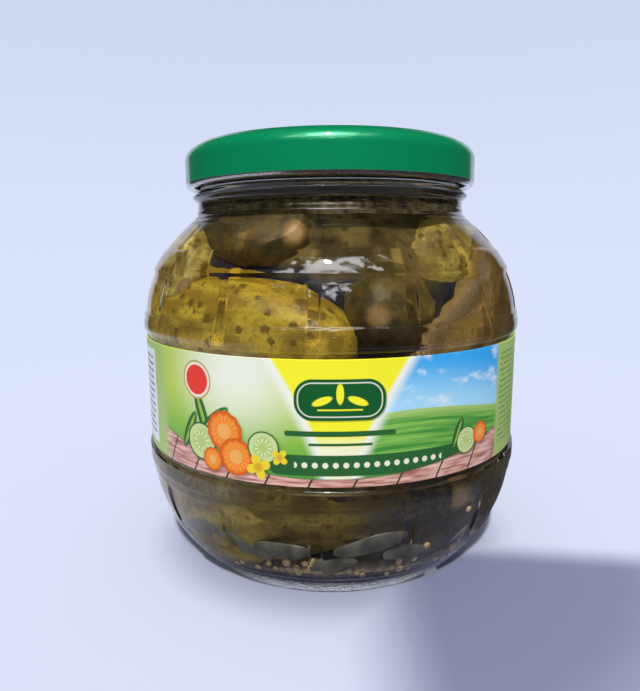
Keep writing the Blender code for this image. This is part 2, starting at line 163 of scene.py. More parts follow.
# name, middle (x, y, z), direction of the long axis (x, y, z), length, thickness, bend, and the
# kind of skin; measures in mm
PICKLES = [
    ("front_left", (-30.5, -18.5, 71.8), (0.70, -0.71, 0.02), 100, 38, -6, "pale"),
    ("front_end", (13, -17, 79), (-0.04, -1.0, 0.03), 78, 29, 2, "dark"),
    ("right_slanted", (33, -28, 70.5), (0.62, 0.45, 0.62), 84, 34, 3, "amber"),
    ("upper_right", (29, -4, 91), (-0.22, -1.0, -0.06), 72, 27, 3, "olive"),
    ("upper_left", (-26, -11, 95), (0.46, -0.88, 0.12), 76, 32, 2, "dark"),
    ("left", (-38, 4, 88), (0.0, 1.0, 0.05), 84, 28, -2, "olive"),
    ("back", (3, 33, 88), (1.0, -0.08, -0.06), 84, 38, -4, "olive"),
    ("back_right", (39, 20, 72), (-0.45, 1.0, -0.35), 72, 33, -3, "pale"),
    ("back_left", (-26, 33, 55), (0.75, 0.66, 0.25), 80, 35, 3, "pale"),
    ("low_front", (-6, -36, 28), (1.0, 0.12, 0.04), 86, 36, 4, "shaded"),
    ("low_right", (38, -2, 27), (0.10, 1.0, -0.05), 80, 34, 3, "dark"),
    ("low_back", (0, 38, 27), (1.0, -0.10, 0.05), 84, 36, -4, "olive"),
    ("low_left", (-39, 2, 29), (-0.08, 1.0, 0.08), 74, 33, 4, "olive"),
]
# angle from the front in degrees, height of the middle in mm, slope, length in mm
ONIONS = [
    (-42, 19, 0.30, 15), (-26, 17.5, -0.30, 17), (-14, 18, 0.0, 15), (1, 13.5, 0.10, 12),
    (11, 20, 0.15, 20), (24, 15, -0.20, 17), (48, 17, 0.30, 18), (85, 15, -0.20, 19),
    (125, 14, 0.25, 19), (170, 16, -0.10, 18), (215, 14, 0.20, 19), (258, 16, -0.30, 18),
]
ONION_WIDTH = 5.5
ONION_THICK = 1.6
ONION_POINT = 0.45
# angle from the front in degrees and height in mm of the seeds that lie apart
SEED_SPOTS = [(-41.6, 20.5), (-13.3, 13.4), (-7.0, 11.6), (-3.4, 11.8), (29.2, 16.5), (42.9, 24.5)]
SEEDS = 22  # the rest, in the lowest corner
SEED_R = 1.1
SEED_BED = 7.0 * MM
RANDOM_SEED = 7
MORE_SEEDS = 80  # small ones that the part leaves out
HERB_CLUMP = (101.0 * MM, 110.9 * MM)  # dill that floats under the lid
HERB_CLUMP_R = 35.0 * MM
HERB_SPRIGS = 90
FROND_WIDTH = 0.22 * MM  # half of it
# strength of the light scar at a pickle's far end and near end, where it isn't 0.6
SCARS = {"front_left": (0.0, 0.4), "front_end": (0.45, 0.0), "upper_left": (0.8, 0.0)}

# ---- print: colours as 0 to 255, made linear ----
def printed(red, green, blue):
    values = (part / 255.0 for part in (red, green, blue))
    return tuple(v / 12.92 if v <= 0.04045 else ((v + 0.055) / 1.055) ** 2.4 for v in values)


PRINT_EDGE = 0.12  # mm of blur at the edge of a printed shape
BEAD_GAP = 2.6
PLANK_WIDTH = 11.3
CREAM = printed(243, 238, 214)
PANEL_WHITE = printed(240, 241, 243)
RULE_GREY = printed(120, 124, 128)
PRINT_SHADE = printed(58, 62, 40)
MEADOW = printed(110, 180, 62)
MEADOW_LIGHT = printed(192, 216, 84)
MEADOW_DEEP = printed(70, 140, 66)
GLOW = printed(250, 250, 236)
FIELD_YELLOW = printed(255, 248, 46)
SKY_PALE = printed(170, 224, 248)
SKY_DEEP = printed(52, 172, 240)
CLOUD = printed(226, 240, 248)
HILL_DEEP = printed(66, 150, 60)
HILL_LIGHT = printed(136, 196, 84)
HILL_TOP = printed(176, 206, 116)
BAND_GREEN = printed(44, 104, 52)
PLATE_GREEN = printed(18, 96, 44)
LEAF_GREEN = printed(52, 112, 52)
SIDE_GREEN = printed(176, 204, 116)
PLANK_DEEP = printed(170, 102, 88)
PLANK_LIGHT = printed(246, 198, 182)
CUCUMBER_RIND = printed(46, 104, 40)
CUCUMBER_FLESH = printed(206, 222, 150)
CUCUMBER_HEART = printed(186, 208, 122)
CUCUMBER_PIP = printed(236, 238, 190)
CARROT_RIM = printed(222, 92, 14)
CARROT_FLESH = printed(250, 138, 34)
CARROT_HEART = printed(246, 176, 92)
FLOWER_YELLOW = printed(244, 216, 52)
FLOWER_HEART = printed(214, 150, 34)
GOLD = printed(196, 164, 96)
ROUNDEL_RED = printed(240, 62, 48)

# ---- camera ----
CAMERA_PLACE = (0.0, -0.1956, 0.0970)
CAMERA_PITCH = math.radians(9.64)  # downwards
CAMERA_YAW = math.radians(0.95)  # to the left
CAMERA_ROLL = math.radians(0.4)
FOCAL_PX = 575.0
FRAME_WIDTH_PX = 640.0
SENSOR_MM = 36.0


# ---- shapes ----
def smooth_step(t):
    t = min(max(t, 0.0), 1.0)
    return t * t * (3.0 - 2.0 * t)


def within(z, span):
    """1 inside the span of heights, 0 outside it, with a rise of STEP at each end."""
    low, high = span
    return smooth_step((z - low) / STEP + 0.5) * smooth_step((high - z) / STEP + 0.5)


def fades(z, span):
    """1 well inside the span of heights, falling to 0 at each end over GROOVE_FADE."""
    low, high = span
    return smooth_step((z - low) / GROOVE_FADE) * smooth_step((high - z) / GROOVE_FADE)


def bump(z, middle, half):
    """1 at the middle, falling to 0 half away from it."""
    return smooth_step(1.0 - abs(z - middle) / half)


def ellipse(radius, rise, dz):
    return radius * math.sqrt(max(0.0, 1.0 - (dz / rise) ** 2))


def smooth_max(a, b, blend):
    return 0.5 * (a + b + math.hypot(a - b, blend))


def barrel_radius(z, inset=0.0):
    """The barrel and neck with no relief, moved inwards by inset."""
    radius = BARREL_R - inset
    if z < HEEL_TOP_Z:
        return ellipse(radius, HEEL_RISE - inset, HEEL_TOP_Z - z)
    if z > SHOULDER_Z:
        radius = ellipse(radius, SHOULDER_RISE - inset, z - SHOULDER_Z)
    return radius


def outer_radius(z, groove=0.0):
    """The glass's outside; groove runs from 0 on a stave to 1 at the bottom of a groove."""
    body = barrel_radius(z)
    body -= LOWER_RECESS * within(z, LOWER_STAVES) + UPPER_RECESS * within(z, UPPER_STAVES)
    body -= PANEL_RECESS * within(z, LABEL_PANEL)
    body += RIDGE_PROUD * sum(within(z, span) for span in RIDGES)
    body += HOOP_PROUD * within(z, HOOP)
    grooved = GROOVE_DEPTH * max(fades(z, LOWER_STAVES), fades(z, UPPER_STAVES))
    body -= groove * (grooved + SHOULDER_GROOVE_DEPTH * fades(z, SHOULDER_GROOVES))
    neck = NECK_R - (NECK_R - FINISH_R) * smooth_step((z - BEAD_Z) / (FINISH_Z - BEAD_Z))
    neck += BEAD_PROUD * bump(z, BEAD_Z, BEAD_HALF)
    ripples = RIPPLE_PROUD * sum(bump(z, middle, RIPPLE_HALF) for middle in RIPPLES_Z)
    return (smooth_max(body, neck, NECK_BLEND) if z > SHOULDER_Z else body) + ripples


def inner_radius(z):
    """The glass's inside wall, rounded into the floor and the neck."""
    body = barrel_radius(z, WALL)
    corner = FLOOR_ROUNDING - (z - FLOOR_Z)
    if corner > 0.0:
        body -= FLOOR_ROUNDING - math.sqrt(max(0.0, FLOOR_ROUNDING**2 - corner**2))
    neck = NECK_R - NECK_WALL
    return smooth_max(body, neck, NECK_BLEND) if z > SHOULDER_Z else body


def at_angle(radius, angle, z):
    """A point at an angle measured from the front (-Y), positive to the right (+X)."""
    return Vector((radius * math.sin(angle), -radius * math.cos(angle), z))


def even(low, high, spacing):
    """Evenly spaced values from low up to but not at high."""
    count = max(1, math.ceil((high - low) / spacing))
    return [low + (high - low) * i / count for i in range(count)]


def outer_heights():
    """Heights of the outside's rings, close together wherever the relief rises or falls."""
    spans = (LOWER_STAVES, UPPER_STAVES, SHOULDER_GROOVES, LABEL_PANEL, HOOP, *RIDGES)
    busy = [(z - 0.6 * STEP, z + 0.6 * STEP) for span in spans for z in span]
    busy.append((RIPPLES_Z[0] - RIPPLE_HALF, FINISH_Z))
    heights = []
    z = FOOT_ROUNDING
    while z < FINISH_Z:
        heights.append(z)
        near = any(low <= z <= high for low, high in busy)
        z += BUSY_ROW if near else PLAIN_ROW
    return heights + even(FINISH_Z, MOUTH_Z - LIP_ROUNDING, 2.0 * MM)


def stave_angles():
    """Angles of the points round the glass, and how deep each lies in a groove."""
    angles = []
    for stave in range(STAVES):
        columns = [-a for a in reversed(GROOVE_COLUMNS[1:])] + GROOVE_COLUMNS
        for column in columns:
            turn = math.radians(column)
            depth = smooth_step((GROOVE_HALF_ANGLE - abs(turn)) / GROOVE_EDGE_ANGLE)
            angles.append((STAVE_TURN + stave * math.tau / STAVES + turn, depth))
    return angles


def arc(centre, radius, start, end, steps):
    """Points (r, z) on an arc; angles in degrees, 0 outwards and 90 up."""
    points = []
    for i in range(steps + 1):
        turn = math.radians(start + (end - start) * i / steps)
        points.append((centre[0] + radius * math.cos(turn), centre[1] + radius * math.sin(turn)))
    return points


# ---- meshes ----
def skin_rings(bm, rings, closed_loop=False):
    """Join successive rings of points. A ring of one point closes the surface with a fan."""
    uppers = rings[1:] + rings[:1] if closed_loop else rings[1:]
    for lower, upper in zip(rings, uppers):
        count = max(len(lower), len(upper))
        for i in range(count):
            j = (i + 1) % count
            if len(lower) == 1:
                bm.faces.new((lower[0], upper[j], upper[i]))
            elif len(upper) == 1:
                bm.faces.new((lower[i], lower[j], upper[0]))
            else:
                bm.faces.new((lower[i], lower[j], upper[j], upper[i]))


def skin_tube(bm, rings):
    """Join rings of points and close both ends with a flat face."""
    skin_rings(bm, rings)
    bm.faces.new(reversed(rings[0]))
    bm.faces.new(rings[-1])


def new_mesh(name, bm):
    mesh = bpy.data.meshes.new(name)
    bm.to_mesh(mesh)
    bm.free()
    return mesh


def add_object(name, data):
    obj = bpy.data.objects.new(name, data)
    bpy.context.scene.collection.objects.link(obj)
    return obj


def finish_piece(bm, name, material, node, smooth_angle=50.0):
    """Make a piece of a bmesh, with all its faces turned outwards."""
    bmesh.ops.recalc_face_normals(bm, faces=bm.faces)
    place_piece(new_mesh(name, bm), name, material, node, smooth_angle)


def place_piece(mesh, name, material, node, smooth_angle):
    """Put a mesh in the scene as a piece that rides on the jar and stands for one CAD node."""
    obj = add_object(name, mesh)
    mesh.materials.append(material)
    mesh.shade_smooth()
    mesh.set_sharp_from_angle(angle=math.radians(smooth_angle))
    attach(obj, "root")
    if node:
        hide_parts(node)


def add_tip(bm, z):
    """A ring of one point, on the axis."""
    return [bm.verts.new((0.0, 0.0, z))]


def add_ring(bm, columns, z, radius):
    """A ring of points round the axis. radius is a number, or a function of the angle."""
    turns = [k * math.tau / columns for k in range(columns)]
    radii = [radius(turn) if callable(radius) else radius for turn in turns]
    return [bm.verts.new(at_angle(r, turn, z)) for r, turn in zip(radii, turns)]


def inner_wave(angle, z):
    """Slow unevenness of the blown inside wall."""
    t = z / MM
    wave = math.sin(3 * angle + 0.11 * t) + 0.7 * math.sin(7 * angle - 0.17 * t + 1.0)
    return INNER_WAVE * (wave + 0.5 * math.sin(0.35 * t + 5 * angle))


def floor_height(radius):
    """Height of the inside's floor, which is pushed up in the middle."""
    return FLOOR_Z + 0.6 * PUSH_UP * (1.0 - smooth_step(radius / (1.4 * PUSH_UP_R)))


def floor_profile():
    """Points (r, z) of the inside's floor outwards from its middle, and up its rounded corner."""
    floor_r = inner_radius(FLOOR_Z)
    flat = [(floor_r * part, floor_height(floor_r * part)) for part in FLOOR_RINGS]
    corner = []
    for step in range(CORNER_STEPS + 1):
        z = FLOOR_Z + FLOOR_ROUNDING * (1.0 - math.cos(0.5 * math.pi * step / CORNER_STEPS))
        corner.append((inner_radius(z), z))
    return flat, corner


def glass_under(plain):
    """Rings under the jar: the pushed-up middle and the flat ring that it stands on."""
    under = FOOT_R - FOOT_WIDTH
    rings = []
    for part in (0.2, 0.4, 0.6, 0.75, 0.9, 0.97):
        rings.append(plain(under * part, PUSH_UP * math.sqrt(1.0 - part**2.6)))
    return rings + [plain(under + 0.2 * MM, 0.0), plain(FOOT_R - 0.6 * MM, 0.0), plain(FOOT_R, 0.15 * MM)]


def make_glass(material):
    angles = stave_angles()
    bm = bmesh.new()
    wet = bm.verts.layers.float.new("wet")
    cut = bm.verts.layers.float.new("cut")

    def plain(radius, z):
        return [bm.verts.new(at_angle(radius, angle, z)) for angle, _ in angles]

    def relief(z):
        shallow, deep = outer_radius(z, 0.0), outer_radius(z, 1.0)
        ring = []
        for angle, depth in angles:
            radius = shallow + (deep - shallow) * depth
            ring.append(bm.verts.new(at_angle(radius, angle, z)))
            ring[-1][cut] = (shallow - radius) / GROOVE_DEPTH
        return ring

    def inside(z):
        radius = inner_radius(z)
        return [bm.verts.new(at_angle(radius + inner_wave(angle, z), angle, z)) for angle, _ in angles]

    rings = [add_tip(bm, PUSH_UP)] + glass_under(plain)
    rings += [relief(z) for z in outer_heights()]
    lip_z = MOUTH_Z - LIP_ROUNDING
    lip = arc((FINISH_R - LIP_ROUNDING, lip_z), LIP_ROUNDING, 0, 90, 4)
    lip += arc((NECK_R - NECK_WALL + LIP_ROUNDING, lip_z), LIP_ROUNDING, 90, 180, 4)
    rings += [plain(r, z) for r, z in lip]
    inner_tops = even(FLOOR_Z + FLOOR_ROUNDING, MOUTH_Z - 2.0 * LIP_ROUNDING, WALL_ROW)
    rings += [inside(z) for z in reversed(inner_tops)]
    flat, corner = floor_profile()
    rings += [plain(r, z) for r, z in reversed(flat + corner[:-1])]
    rings.append(add_tip(bm, floor_height(0.0)))
    skin_rings(bm, rings)
    floor_middle = 0.5 * (FLOOR_Z + PUSH_UP)
    for vert in bm.verts:
        x, y, z = vert.co
        inwards = math.hypot(x, y) < inner_radius(z) + INSIDE_REACH and z > floor_middle
        vert[wet] = 1.0 if inwards and z < BRINE_Z + MENISCUS else 0.0
    finish_piece(bm, "jar_glass_clear", material, "jar_glass")


def make_brine(material):
    """The liquid, from just inside the glass wall up to its surface in the neck."""
    bm = bmesh.new()
    free = bm.verts.layers.float.new("free")

    def ring(radius, z):
        return add_ring(bm, BRINE_COLUMNS, z, radius)

    flat, corner = floor_profile()
    rings = [add_tip(bm, floor_height(0.0) - BRINE_OVERLAP)]
    rings += [ring(r, z - BRINE_OVERLAP) for r, z in flat + corner[:1]]
    rings += [ring(r + BRINE_OVERLAP, z - 0.5 * BRINE_OVERLAP) for r, z in corner[1:]]
    wall_z = even(FLOOR_Z + 1.1 * FLOOR_ROUNDING, BRINE_Z, WALL_ROW)
    rings += [ring(inner_radius(z) + BRINE_OVERLAP, z) for z in wall_z]
    wall = inner_radius(BRINE_Z) + BRINE_OVERLAP
    rings.append(ring(wall, BRINE_Z + MENISCUS))
    for inwards in (0.6, 1.2, 2.0, 3.2, 5.0):
        rings.append(ring(wall - inwards * MM, BRINE_Z + MENISCUS * math.exp(-inwards / 1.1)))
    rings += [ring(0.55 * wall, BRINE_Z), add_tip(bm, BRINE_Z)]
    skin_rings(bm, rings)
    for vert in bm.verts:
        x, y, z = vert.co
        on_top = z > BRINE_Z - 0.01 * MM and math.hypot(x, y) < wall - 0.1 * MM
        vert[free] = 1.0 if on_top else 0.0
    finish_piece(bm, "brine", material, None)


def make_label(material):
    """The printed band, from just off the glass out to the part's own face."""
    inner, outer = LABEL_R - LABEL_THICK, LABEL_R
    low, high = LABEL_Z
    corners = [(inner, low), (outer - LABEL_EDGE, low), (outer, low + LABEL_EDGE)]
    corners += [(outer, z) for z in even(low + 4 * MM, high - LABEL_EDGE, 4 * MM)]
    corners += [(outer, high - LABEL_EDGE), (outer - LABEL_EDGE, high), (inner, high)]
    bm = bmesh.new()
    skin_rings(bm, [add_ring(bm, LABEL_COLUMNS, z, r) for r, z in corners], closed_loop=True)
    finish_piece(bm, "label_band", material, "label", 30.0)


def lug_reach(angle):
    """How far the lid's curl is pressed inwards at an angle."""
    spacing = math.tau / LUGS
    away = abs((angle + 0.5 * spacing) % spacing - 0.5 * spacing)
    return LUG_REACH * smooth_step((LUG_HALF_ANGLE - away) / (0.4 * LUG_HALF_ANGLE))


def lid_inside():
    """The profile (r, z) of the lid's inside, from the curl to the middle of the panel."""
    panel_z = LID_TOP_Z - PANEL_DROP
    skirt_inner = LID_R - LID_SHEET
    shoulder_z = LID_TOP_Z - SHOULDER_DROP - LID_SHOULDER
    curl_top_z = LID_BOTTOM_Z + 2.0 * CURL_R
    inner_shoulder = 0.7 * (LID_SHOULDER - LID_SHEET)
    groove_r = CHANNEL_R - 0.5 * LID_SHEET
    return [
        (skirt_inner - 0.2 * MM, curl_top_z),
        (skirt_inner, curl_top_z + 0.6 * MM),
        (skirt_inner, shoulder_z),
        (CREST_R + inner_shoulder, shoulder_z + inner_shoulder),
        (CREST_R + LID_SHEET, MOUTH_Z + TOUCH_GAP),
        (CHANNEL_R, MOUTH_Z + TOUCH_GAP),
        (groove_r, panel_z - GROOVE_DROP - LID_SHEET),
        (groove_r - GROOVE_WIDTH, panel_z - LID_SHEET),
    ]


def s_curve(start, end, shares):
    """Points (r, z) between two points, on a slope that is level at both."""
    (r, z), (end_r, end_z) = start, end
    return [(r + (end_r - r) * t, z + (end_z - z) * smooth_step(t)) for t in shares]


def make_lid(material):
    """The pressed lid: button, panel, channel, crest, rolled shoulder, skirt and curl with lugs."""
    panel_z = LID_TOP_Z - PANEL_DROP
    shoulder_z = LID_TOP_Z - SHOULDER_DROP - LID_SHOULDER
    outside = []
    for i in range(1, 9):
        part = i / 8
        outside.append((part * BUTTON_R, panel_z + BUTTON_RISE + BUTTON_CROWN * (1.0 - part**2)))
    outside += s_curve((BUTTON_R, panel_z + BUTTON_RISE), (BUTTON_R + BUTTON_EDGE, panel_z),
                       (0.25, 0.5, 0.75, 1.0))
    outside += [(r * MM, panel_z) for r in (18.0, 24.0, 30.0)]
    low = (CHANNEL_R - 0.5 * LID_SHEET, panel_z - GROOVE_DROP)
    outside += s_curve((low[0] - GROOVE_WIDTH, panel_z), low, (0.0, 0.3, 0.5, 0.7, 1.0))
    outside += s_curve(low, (CREST_R, LID_TOP_Z), (0.2, 0.35, 0.5, 0.65, 0.8, 0.92, 1.0))
    outside.append((CREST_R + 0.6 * MM, LID_TOP_Z - 0.1 * MM))
    outside += arc((LID_R - LID_SHOULDER, shoulder_z), LID_SHOULDER, 72, 0, 12)
    outside += [(LID_R, z * MM) for z in (122.0, 120.6, 119.2, 117.8)]
    roll = (LID_R - CURL_R, LID_BOTTOM_Z + CURL_R)
    curl = arc(roll, CURL_R, 0, -180, 16)
    curl.append((LID_R - 2.0 * CURL_R, LID_BOTTOM_Z + CURL_R + CURL_LIP))
    bm = bmesh.new()
    rings = [add_tip(bm, panel_z + BUTTON_RISE + BUTTON_CROWN)]
    rings += [add_ring(bm, LID_COLUMNS, z, r) for r, z in outside]
    for i, (r, z) in enumerate(curl):
        pressed = smooth_step(2.0 * i / len(curl) - 0.8)
        rings.append(add_ring(bm, LID_COLUMNS, z, lambda turn: r - pressed * lug_reach(turn)))
    rings += [add_ring(bm, LID_COLUMNS, z, r) for r, z in lid_inside()]
    rings.append(add_tip(bm, panel_z - LID_SHEET))
    skin_rings(bm, rings)
    finish_piece(bm, "lid_pressed", material, "lid", 40.0)


def make_lining(material):
    """The compound on the lid's inside, a thin skin just off the steel, near black: partly its own grey,
    partly painted shade.
    """
    bm = bmesh.new()
    profile = lid_inside()
    profile.append((0.3 * MM, profile[-1][1]))
    near, far = ([(max(r - depth, 0.2 * MM), z - depth) for r, z in profile] for depth in LINING_DEPTHS)
    rings = [add_ring(bm, LID_COLUMNS, z, r) for r, z in near + far[::-1]]
    skin_rings(bm, rings, closed_loop=True)
    finish_piece(bm, "lid_lining", material, "lid", 40.0)


# ---- contents ----
def inner_radii(heights):
    return np.array([inner_radius(z) for z in heights])


def pack_inside(points, layer):
    """Press points (rows of x, y, z) of the contents in from where they would meet the glass."""
    gap = PACK_GAP + layer * PACK_GAP_STEP
    z = np.clip(points[:, 2], FLOOR_Z + PUSH_UP + gap, PACK_TOP_Z - gap + PACK_GAP)
    limit = inner_radii(z) - gap
    radius = np.hypot(points[:, 0], points[:, 1])
    shrink = np.minimum(1.0, limit / np.maximum(radius, MM))
    return np.stack([points[:, 0] * shrink, points[:, 1] * shrink, z], axis=1)


def pickle_radius(along, thickness):
    """Half thickness at along, which runs from -1 at one end to 1 at the other."""
    return 0.5 * thickness * (1.0 - np.abs(along) ** 3.2) ** 0.55 * (1.0 - 0.06 * along)


def wart_places(draw, length, thickness):
    """Where a pickle's warts are: along (-1 to 1), angle, width in mm and strength."""
    area = math.pi * thickness * length * 0.8
    count = int(area / WART_SPACING**2)
    places = []
    for _ in range(count):
        along = draw.uniform(-0.93, 0.93)
        places.append((along, draw.uniform(0, math.tau), draw.uniform(0.7, 1.4), draw.uniform(0.35, 1.0)))
    return places


def pickle_relief(draw, along, turn, length, thickness):
    """How far warts and ribs lift each point of a pickle, in mm, and how much of a wart it is."""
    wart = np.zeros_like(along)
    lift = np.zeros_like(along)
    for place, angle, width, strength in wart_places(draw, length, thickness):
        side = (turn - angle + math.pi) % math.tau - math.pi
        local_r = 0.5 * thickness * (1.0 - abs(place) ** 3.2) ** 0.55
        distance2 = (0.5 * length * (along - place)) ** 2 + (local_r * side) ** 2
        spot = np.exp(-distance2 / width**2)
        wart = np.maximum(wart, spot * strength)
        lift += WART_LIFT * strength * spot
    ribs = draw.choice((7, 8, 9))
    phase = draw.uniform(0, math.tau)
    body = np.clip(1.0 - np.abs(along) ** 4, 0.0, 1.0)
    lift += body * RIB_LIFT * np.sin(ribs * turn + phase)
    lift += body * OVAL_LIFT * np.sin(2.0 * turn + 3.1 * along + phase)
    lift += body * WAVE_LIFT * np.sin(5.0 * along + phase + 2.0 * np.cos(turn))
    return np.minimum(lift, MOST_LIFT), wart


def pickle_faces(rings):
    """Faces between the rings of points, which come first, and the two end points, which come last."""
    faces = []
    for ring in range(rings - 1):
        base = ring * PICKLE_SIDES
        for k in range(PICKLE_SIDES):
            j = (k + 1) % PICKLE_SIDES
            faces.append((base + k, base + j, base + PICKLE_SIDES + j, base + PICKLE_SIDES + k))
    last = (rings - 1) * PICKLE_SIDES
    low, high = rings * PICKLE_SIDES, rings * PICKLE_SIDES + 1
    for k in range(PICKLE_SIDES):
        j = (k + 1) % PICKLE_SIDES
        faces.append((low, j, k))
        faces.append((last + k, last + j, high))
    return faces


def make_pickle(layer, name, middle, direction, length, thickness, bend, material):
    """A pickle from the part's own list, with ribs, warts and a scar at each end."""
    draw = random.Random(100 + layer)
    rings = PICKLE_RINGS - 1
    turn = np.arange(PICKLE_SIDES) * math.tau / PICKLE_SIDES
    along = -np.cos(np.pi * np.arange(1, rings + 1) / PICKLE_RINGS)
    along, turn = (a.ravel() for a in np.meshgrid(along, turn, indexing="ij"))
    along = np.concatenate([along, [-1.0, 1.0]])
    turn = np.concatenate([turn, [0.0, 0.0]])
    across = pickle_radius(along, thickness)
    lift, wart = pickle_relief(draw, along, turn, length, thickness)
    across = across + lift * np.clip(across / 3.0, 0.0, 1.0)
    near_end = np.abs(along) > 0.5
    dimple = SCAR_DIMPLE * np.exp(-((across / (0.09 * thickness)) ** 2)) * near_end
    bow = bend * (1.0 - along * along)
    local = np.stack([across * np.cos(turn) + bow, across * np.sin(turn),
                      0.5 * length * along - np.sign(along) * dimple], axis=1)
    axis = Vector(direction).normalized().to_track_quat("Z", "Y").to_matrix()
    world = np.array(middle) * MM + local @ np.array(axis).T * MM
    mesh = bpy.data.meshes.new(name)
    mesh.from_pydata([tuple(p) for p in pack_inside(world, layer)], [], pickle_faces(rings))
    strength = np.where(along > 0.0, *SCARS.get(name, (0.6, 0.6)))
    scar = np.clip(1.6 - across / (0.085 * thickness), 0.0, 1.0) * near_end * strength
    for label, values in (("wart", wart), ("scar", scar)):
        mesh.attributes.new(label, "FLOAT", "POINT").data.foreach_set("value", values.astype(np.float32))
    skin = mesh.attributes.new("skin", "FLOAT_VECTOR", "POINT")
    skin.data.foreach_set("vector", (local + 100.0 * layer).astype(np.float32).ravel())
    place_piece(mesh, "pickle_" + name, material, "pickles", 80.0)


def make_core(material):
    """What lies deep inside the pack under the pickles that show, coloured dark as painted shade."""
    bm = bmesh.new()
    rings = [add_tip(bm, CORE_FOOT_Z)]
    for z in even(CORE_FOOT_Z, CORE_TOP_Z, 2.0 * MM) + [CORE_TOP_Z]:
        settled = smooth_step((SEDIMENT_Z - z) / (4.0 * MM))
        radius = inner_radius(z) - CORE_INSET - (SEDIMENT_INSET - CORE_INSET) * settled

        def lumpy(turn):
            lump = 0.5 * math.sin(9 * turn + z / MM) + 0.3 * math.sin(31 * turn - 2 * z / MM)
            return radius + lump * MM

        rings.append(add_ring(bm, LUMP_COLUMNS, z, lumpy))
    rings.append(add_tip(bm, CORE_TOP_Z))
    skin_rings(bm, rings)
    finish_piece(bm, "pack_core", material, "pickles")


def make_onions(material):
    """Strips of onion that lie against the glass near the base, thicker along their middle."""
    steps, sides = 26, 12
    bm = bmesh.new()
    for index, (degrees, height, slope, length) in enumerate(ONIONS):
        angle, z = math.radians(degrees), height * MM
        radius = inner_radius(z)
        rings = []
        for i in range(steps + 1):
            share = i / steps
            along = length * MM * (share - 0.5)
            arch = math.sin(math.pi * (0.03 + 0.94 * share))
            taper = ONION_POINT * min(1.0, 4.0 * arch) + (1.0 - ONION_POINT) * arch
            wavy = 0.4 * MM * math.sin(5.0 * share + index)
            places, layers = [], []
            for side in range(sides):
                turn = side * math.tau / sides
                up = 0.5 * math.cos(turn) * ONION_WIDTH * MM * taper + along * slope + wavy
                places.append(at_angle(radius, angle + along / radius, z + up))
                depth = (0.5 - 0.5 * math.sin(turn)) * min(1.0, 3.0 * arch)
                layers.append(index + depth * ONION_THICK * MM / PACK_GAP_STEP)
            packed = [pack_inside(np.array([place]), layer)[0] for place, layer in zip(places, layers)]
            rings.append([bm.verts.new(tuple(point)) for point in packed])
        skin_tube(bm, rings)
    finish_piece(bm, "onion_strips", material, "pickles", 70.0)


def seed_places():
    """Where the mustard seeds are: some apart, the rest settled in the lowest corner of the jar."""
    draw = random.Random(RANDOM_SEED)
    places = [(math.radians(degrees), height * MM, 1.0) for degrees, height in SEED_SPOTS]
    for _ in range(SEEDS):
        angle = draw.uniform(0.0, math.tau)
        z = FLOOR_Z + PUSH_UP + 0.5 * SEED_R * MM + draw.random() * SEED_BED
        places.append((angle, z, draw.uniform(0.85, 1.05)))
    for _ in range(MORE_SEEDS):
        angle = draw.uniform(0.0, math.tau)
        z = FLOOR_Z + 2.2 * MM + draw.random() ** 1.6 * SEED_BED
        places.append((angle, z, draw.uniform(0.6, 0.95)))
    return places


def make_seeds(material):
    bm = bmesh.new()
    for angle, z, size in seed_places():
        radius = inner_radius(z) - PACK_GAP - 1.3 * SEED_R * MM
        place = Matrix.Translation(at_angle(radius, angle, z))
        bmesh.ops.create_icosphere(bm, subdivisions=3, radius=size * SEED_R * MM, matrix=place)
    finish_piece(bm, "mustard_seeds", material, "pickles", 80.0)


def make_herbs(material):
    """A dark clump of dill that floats in the neck: a lumpy mat with loose fronds round its edge."""
    draw = random.Random(RANDOM_SEED + 1)
    low, high = HERB_CLUMP
    bm = bmesh.new()
    rings = [add_tip(bm, low)]
    for share, reach in ((0.0, 0.8), (0.25, 0.97), (0.5, 1.0), (0.8, 0.97), (1.0, 0.85)):

        def lumpy(turn):
            lump = 0.03 * math.sin(7 * turn + 9 * share) + 0.02 * math.sin(19 * turn + 4 * share)
            return HERB_CLUMP_R * reach * (1.0 + lump)

        rings.append(add_ring(bm, LUMP_COLUMNS, low + (high - low) * share, lumpy))
    rings.append(add_tip(bm, high))
    skin_rings(bm, rings)
    for _ in range(HERB_SPRIGS):
        turn = draw.uniform(0.0, math.tau)
        start = at_angle(HERB_CLUMP_R - 1.0 * MM, turn, draw.uniform(low + 1 * MM, high - 0.5 * MM))
        heading = turn + draw.uniform(-1.2, 1.2)
        add_frond(bm, start, heading, draw.uniform(2.0, 4.0) * MM, draw.uniform(-1.0, 0.3))
    finish_piece(bm, "dill_clump", material, "pickles", 60.0)


def add_frond(bm, start, heading, length, droop):
    """One thin, tapered leaf of dill with three sides."""
    outwards = Vector((math.sin(heading), -math.cos(heading), 0.0))
    sideways, up = Vector((-outwards.y, outwards.x, 0.0)), Vector((0.0, 0.0, 1.0))
    rings = []
    for share in (0.0, 0.35, 0.7, 1.0):
        middle = start + outwards * length * share + up * droop * length * share * share
        limit = inner_radius(middle.z) - 2.0 * PACK_GAP
        pull = min(1.0, limit / math.hypot(middle.x, middle.y))
        middle.x, middle.y = middle.x * pull, middle.y * pull
        width = FROND_WIDTH * (1.0 - 0.8 * share)
        turns = [side * math.tau / 3 for side in range(3)]
        across = [sideways * math.cos(turn) + up * math.sin(turn) for turn in turns]
        rings.append([bm.verts.new(middle + way * width) for way in across])
    skin_tube(bm, rings)


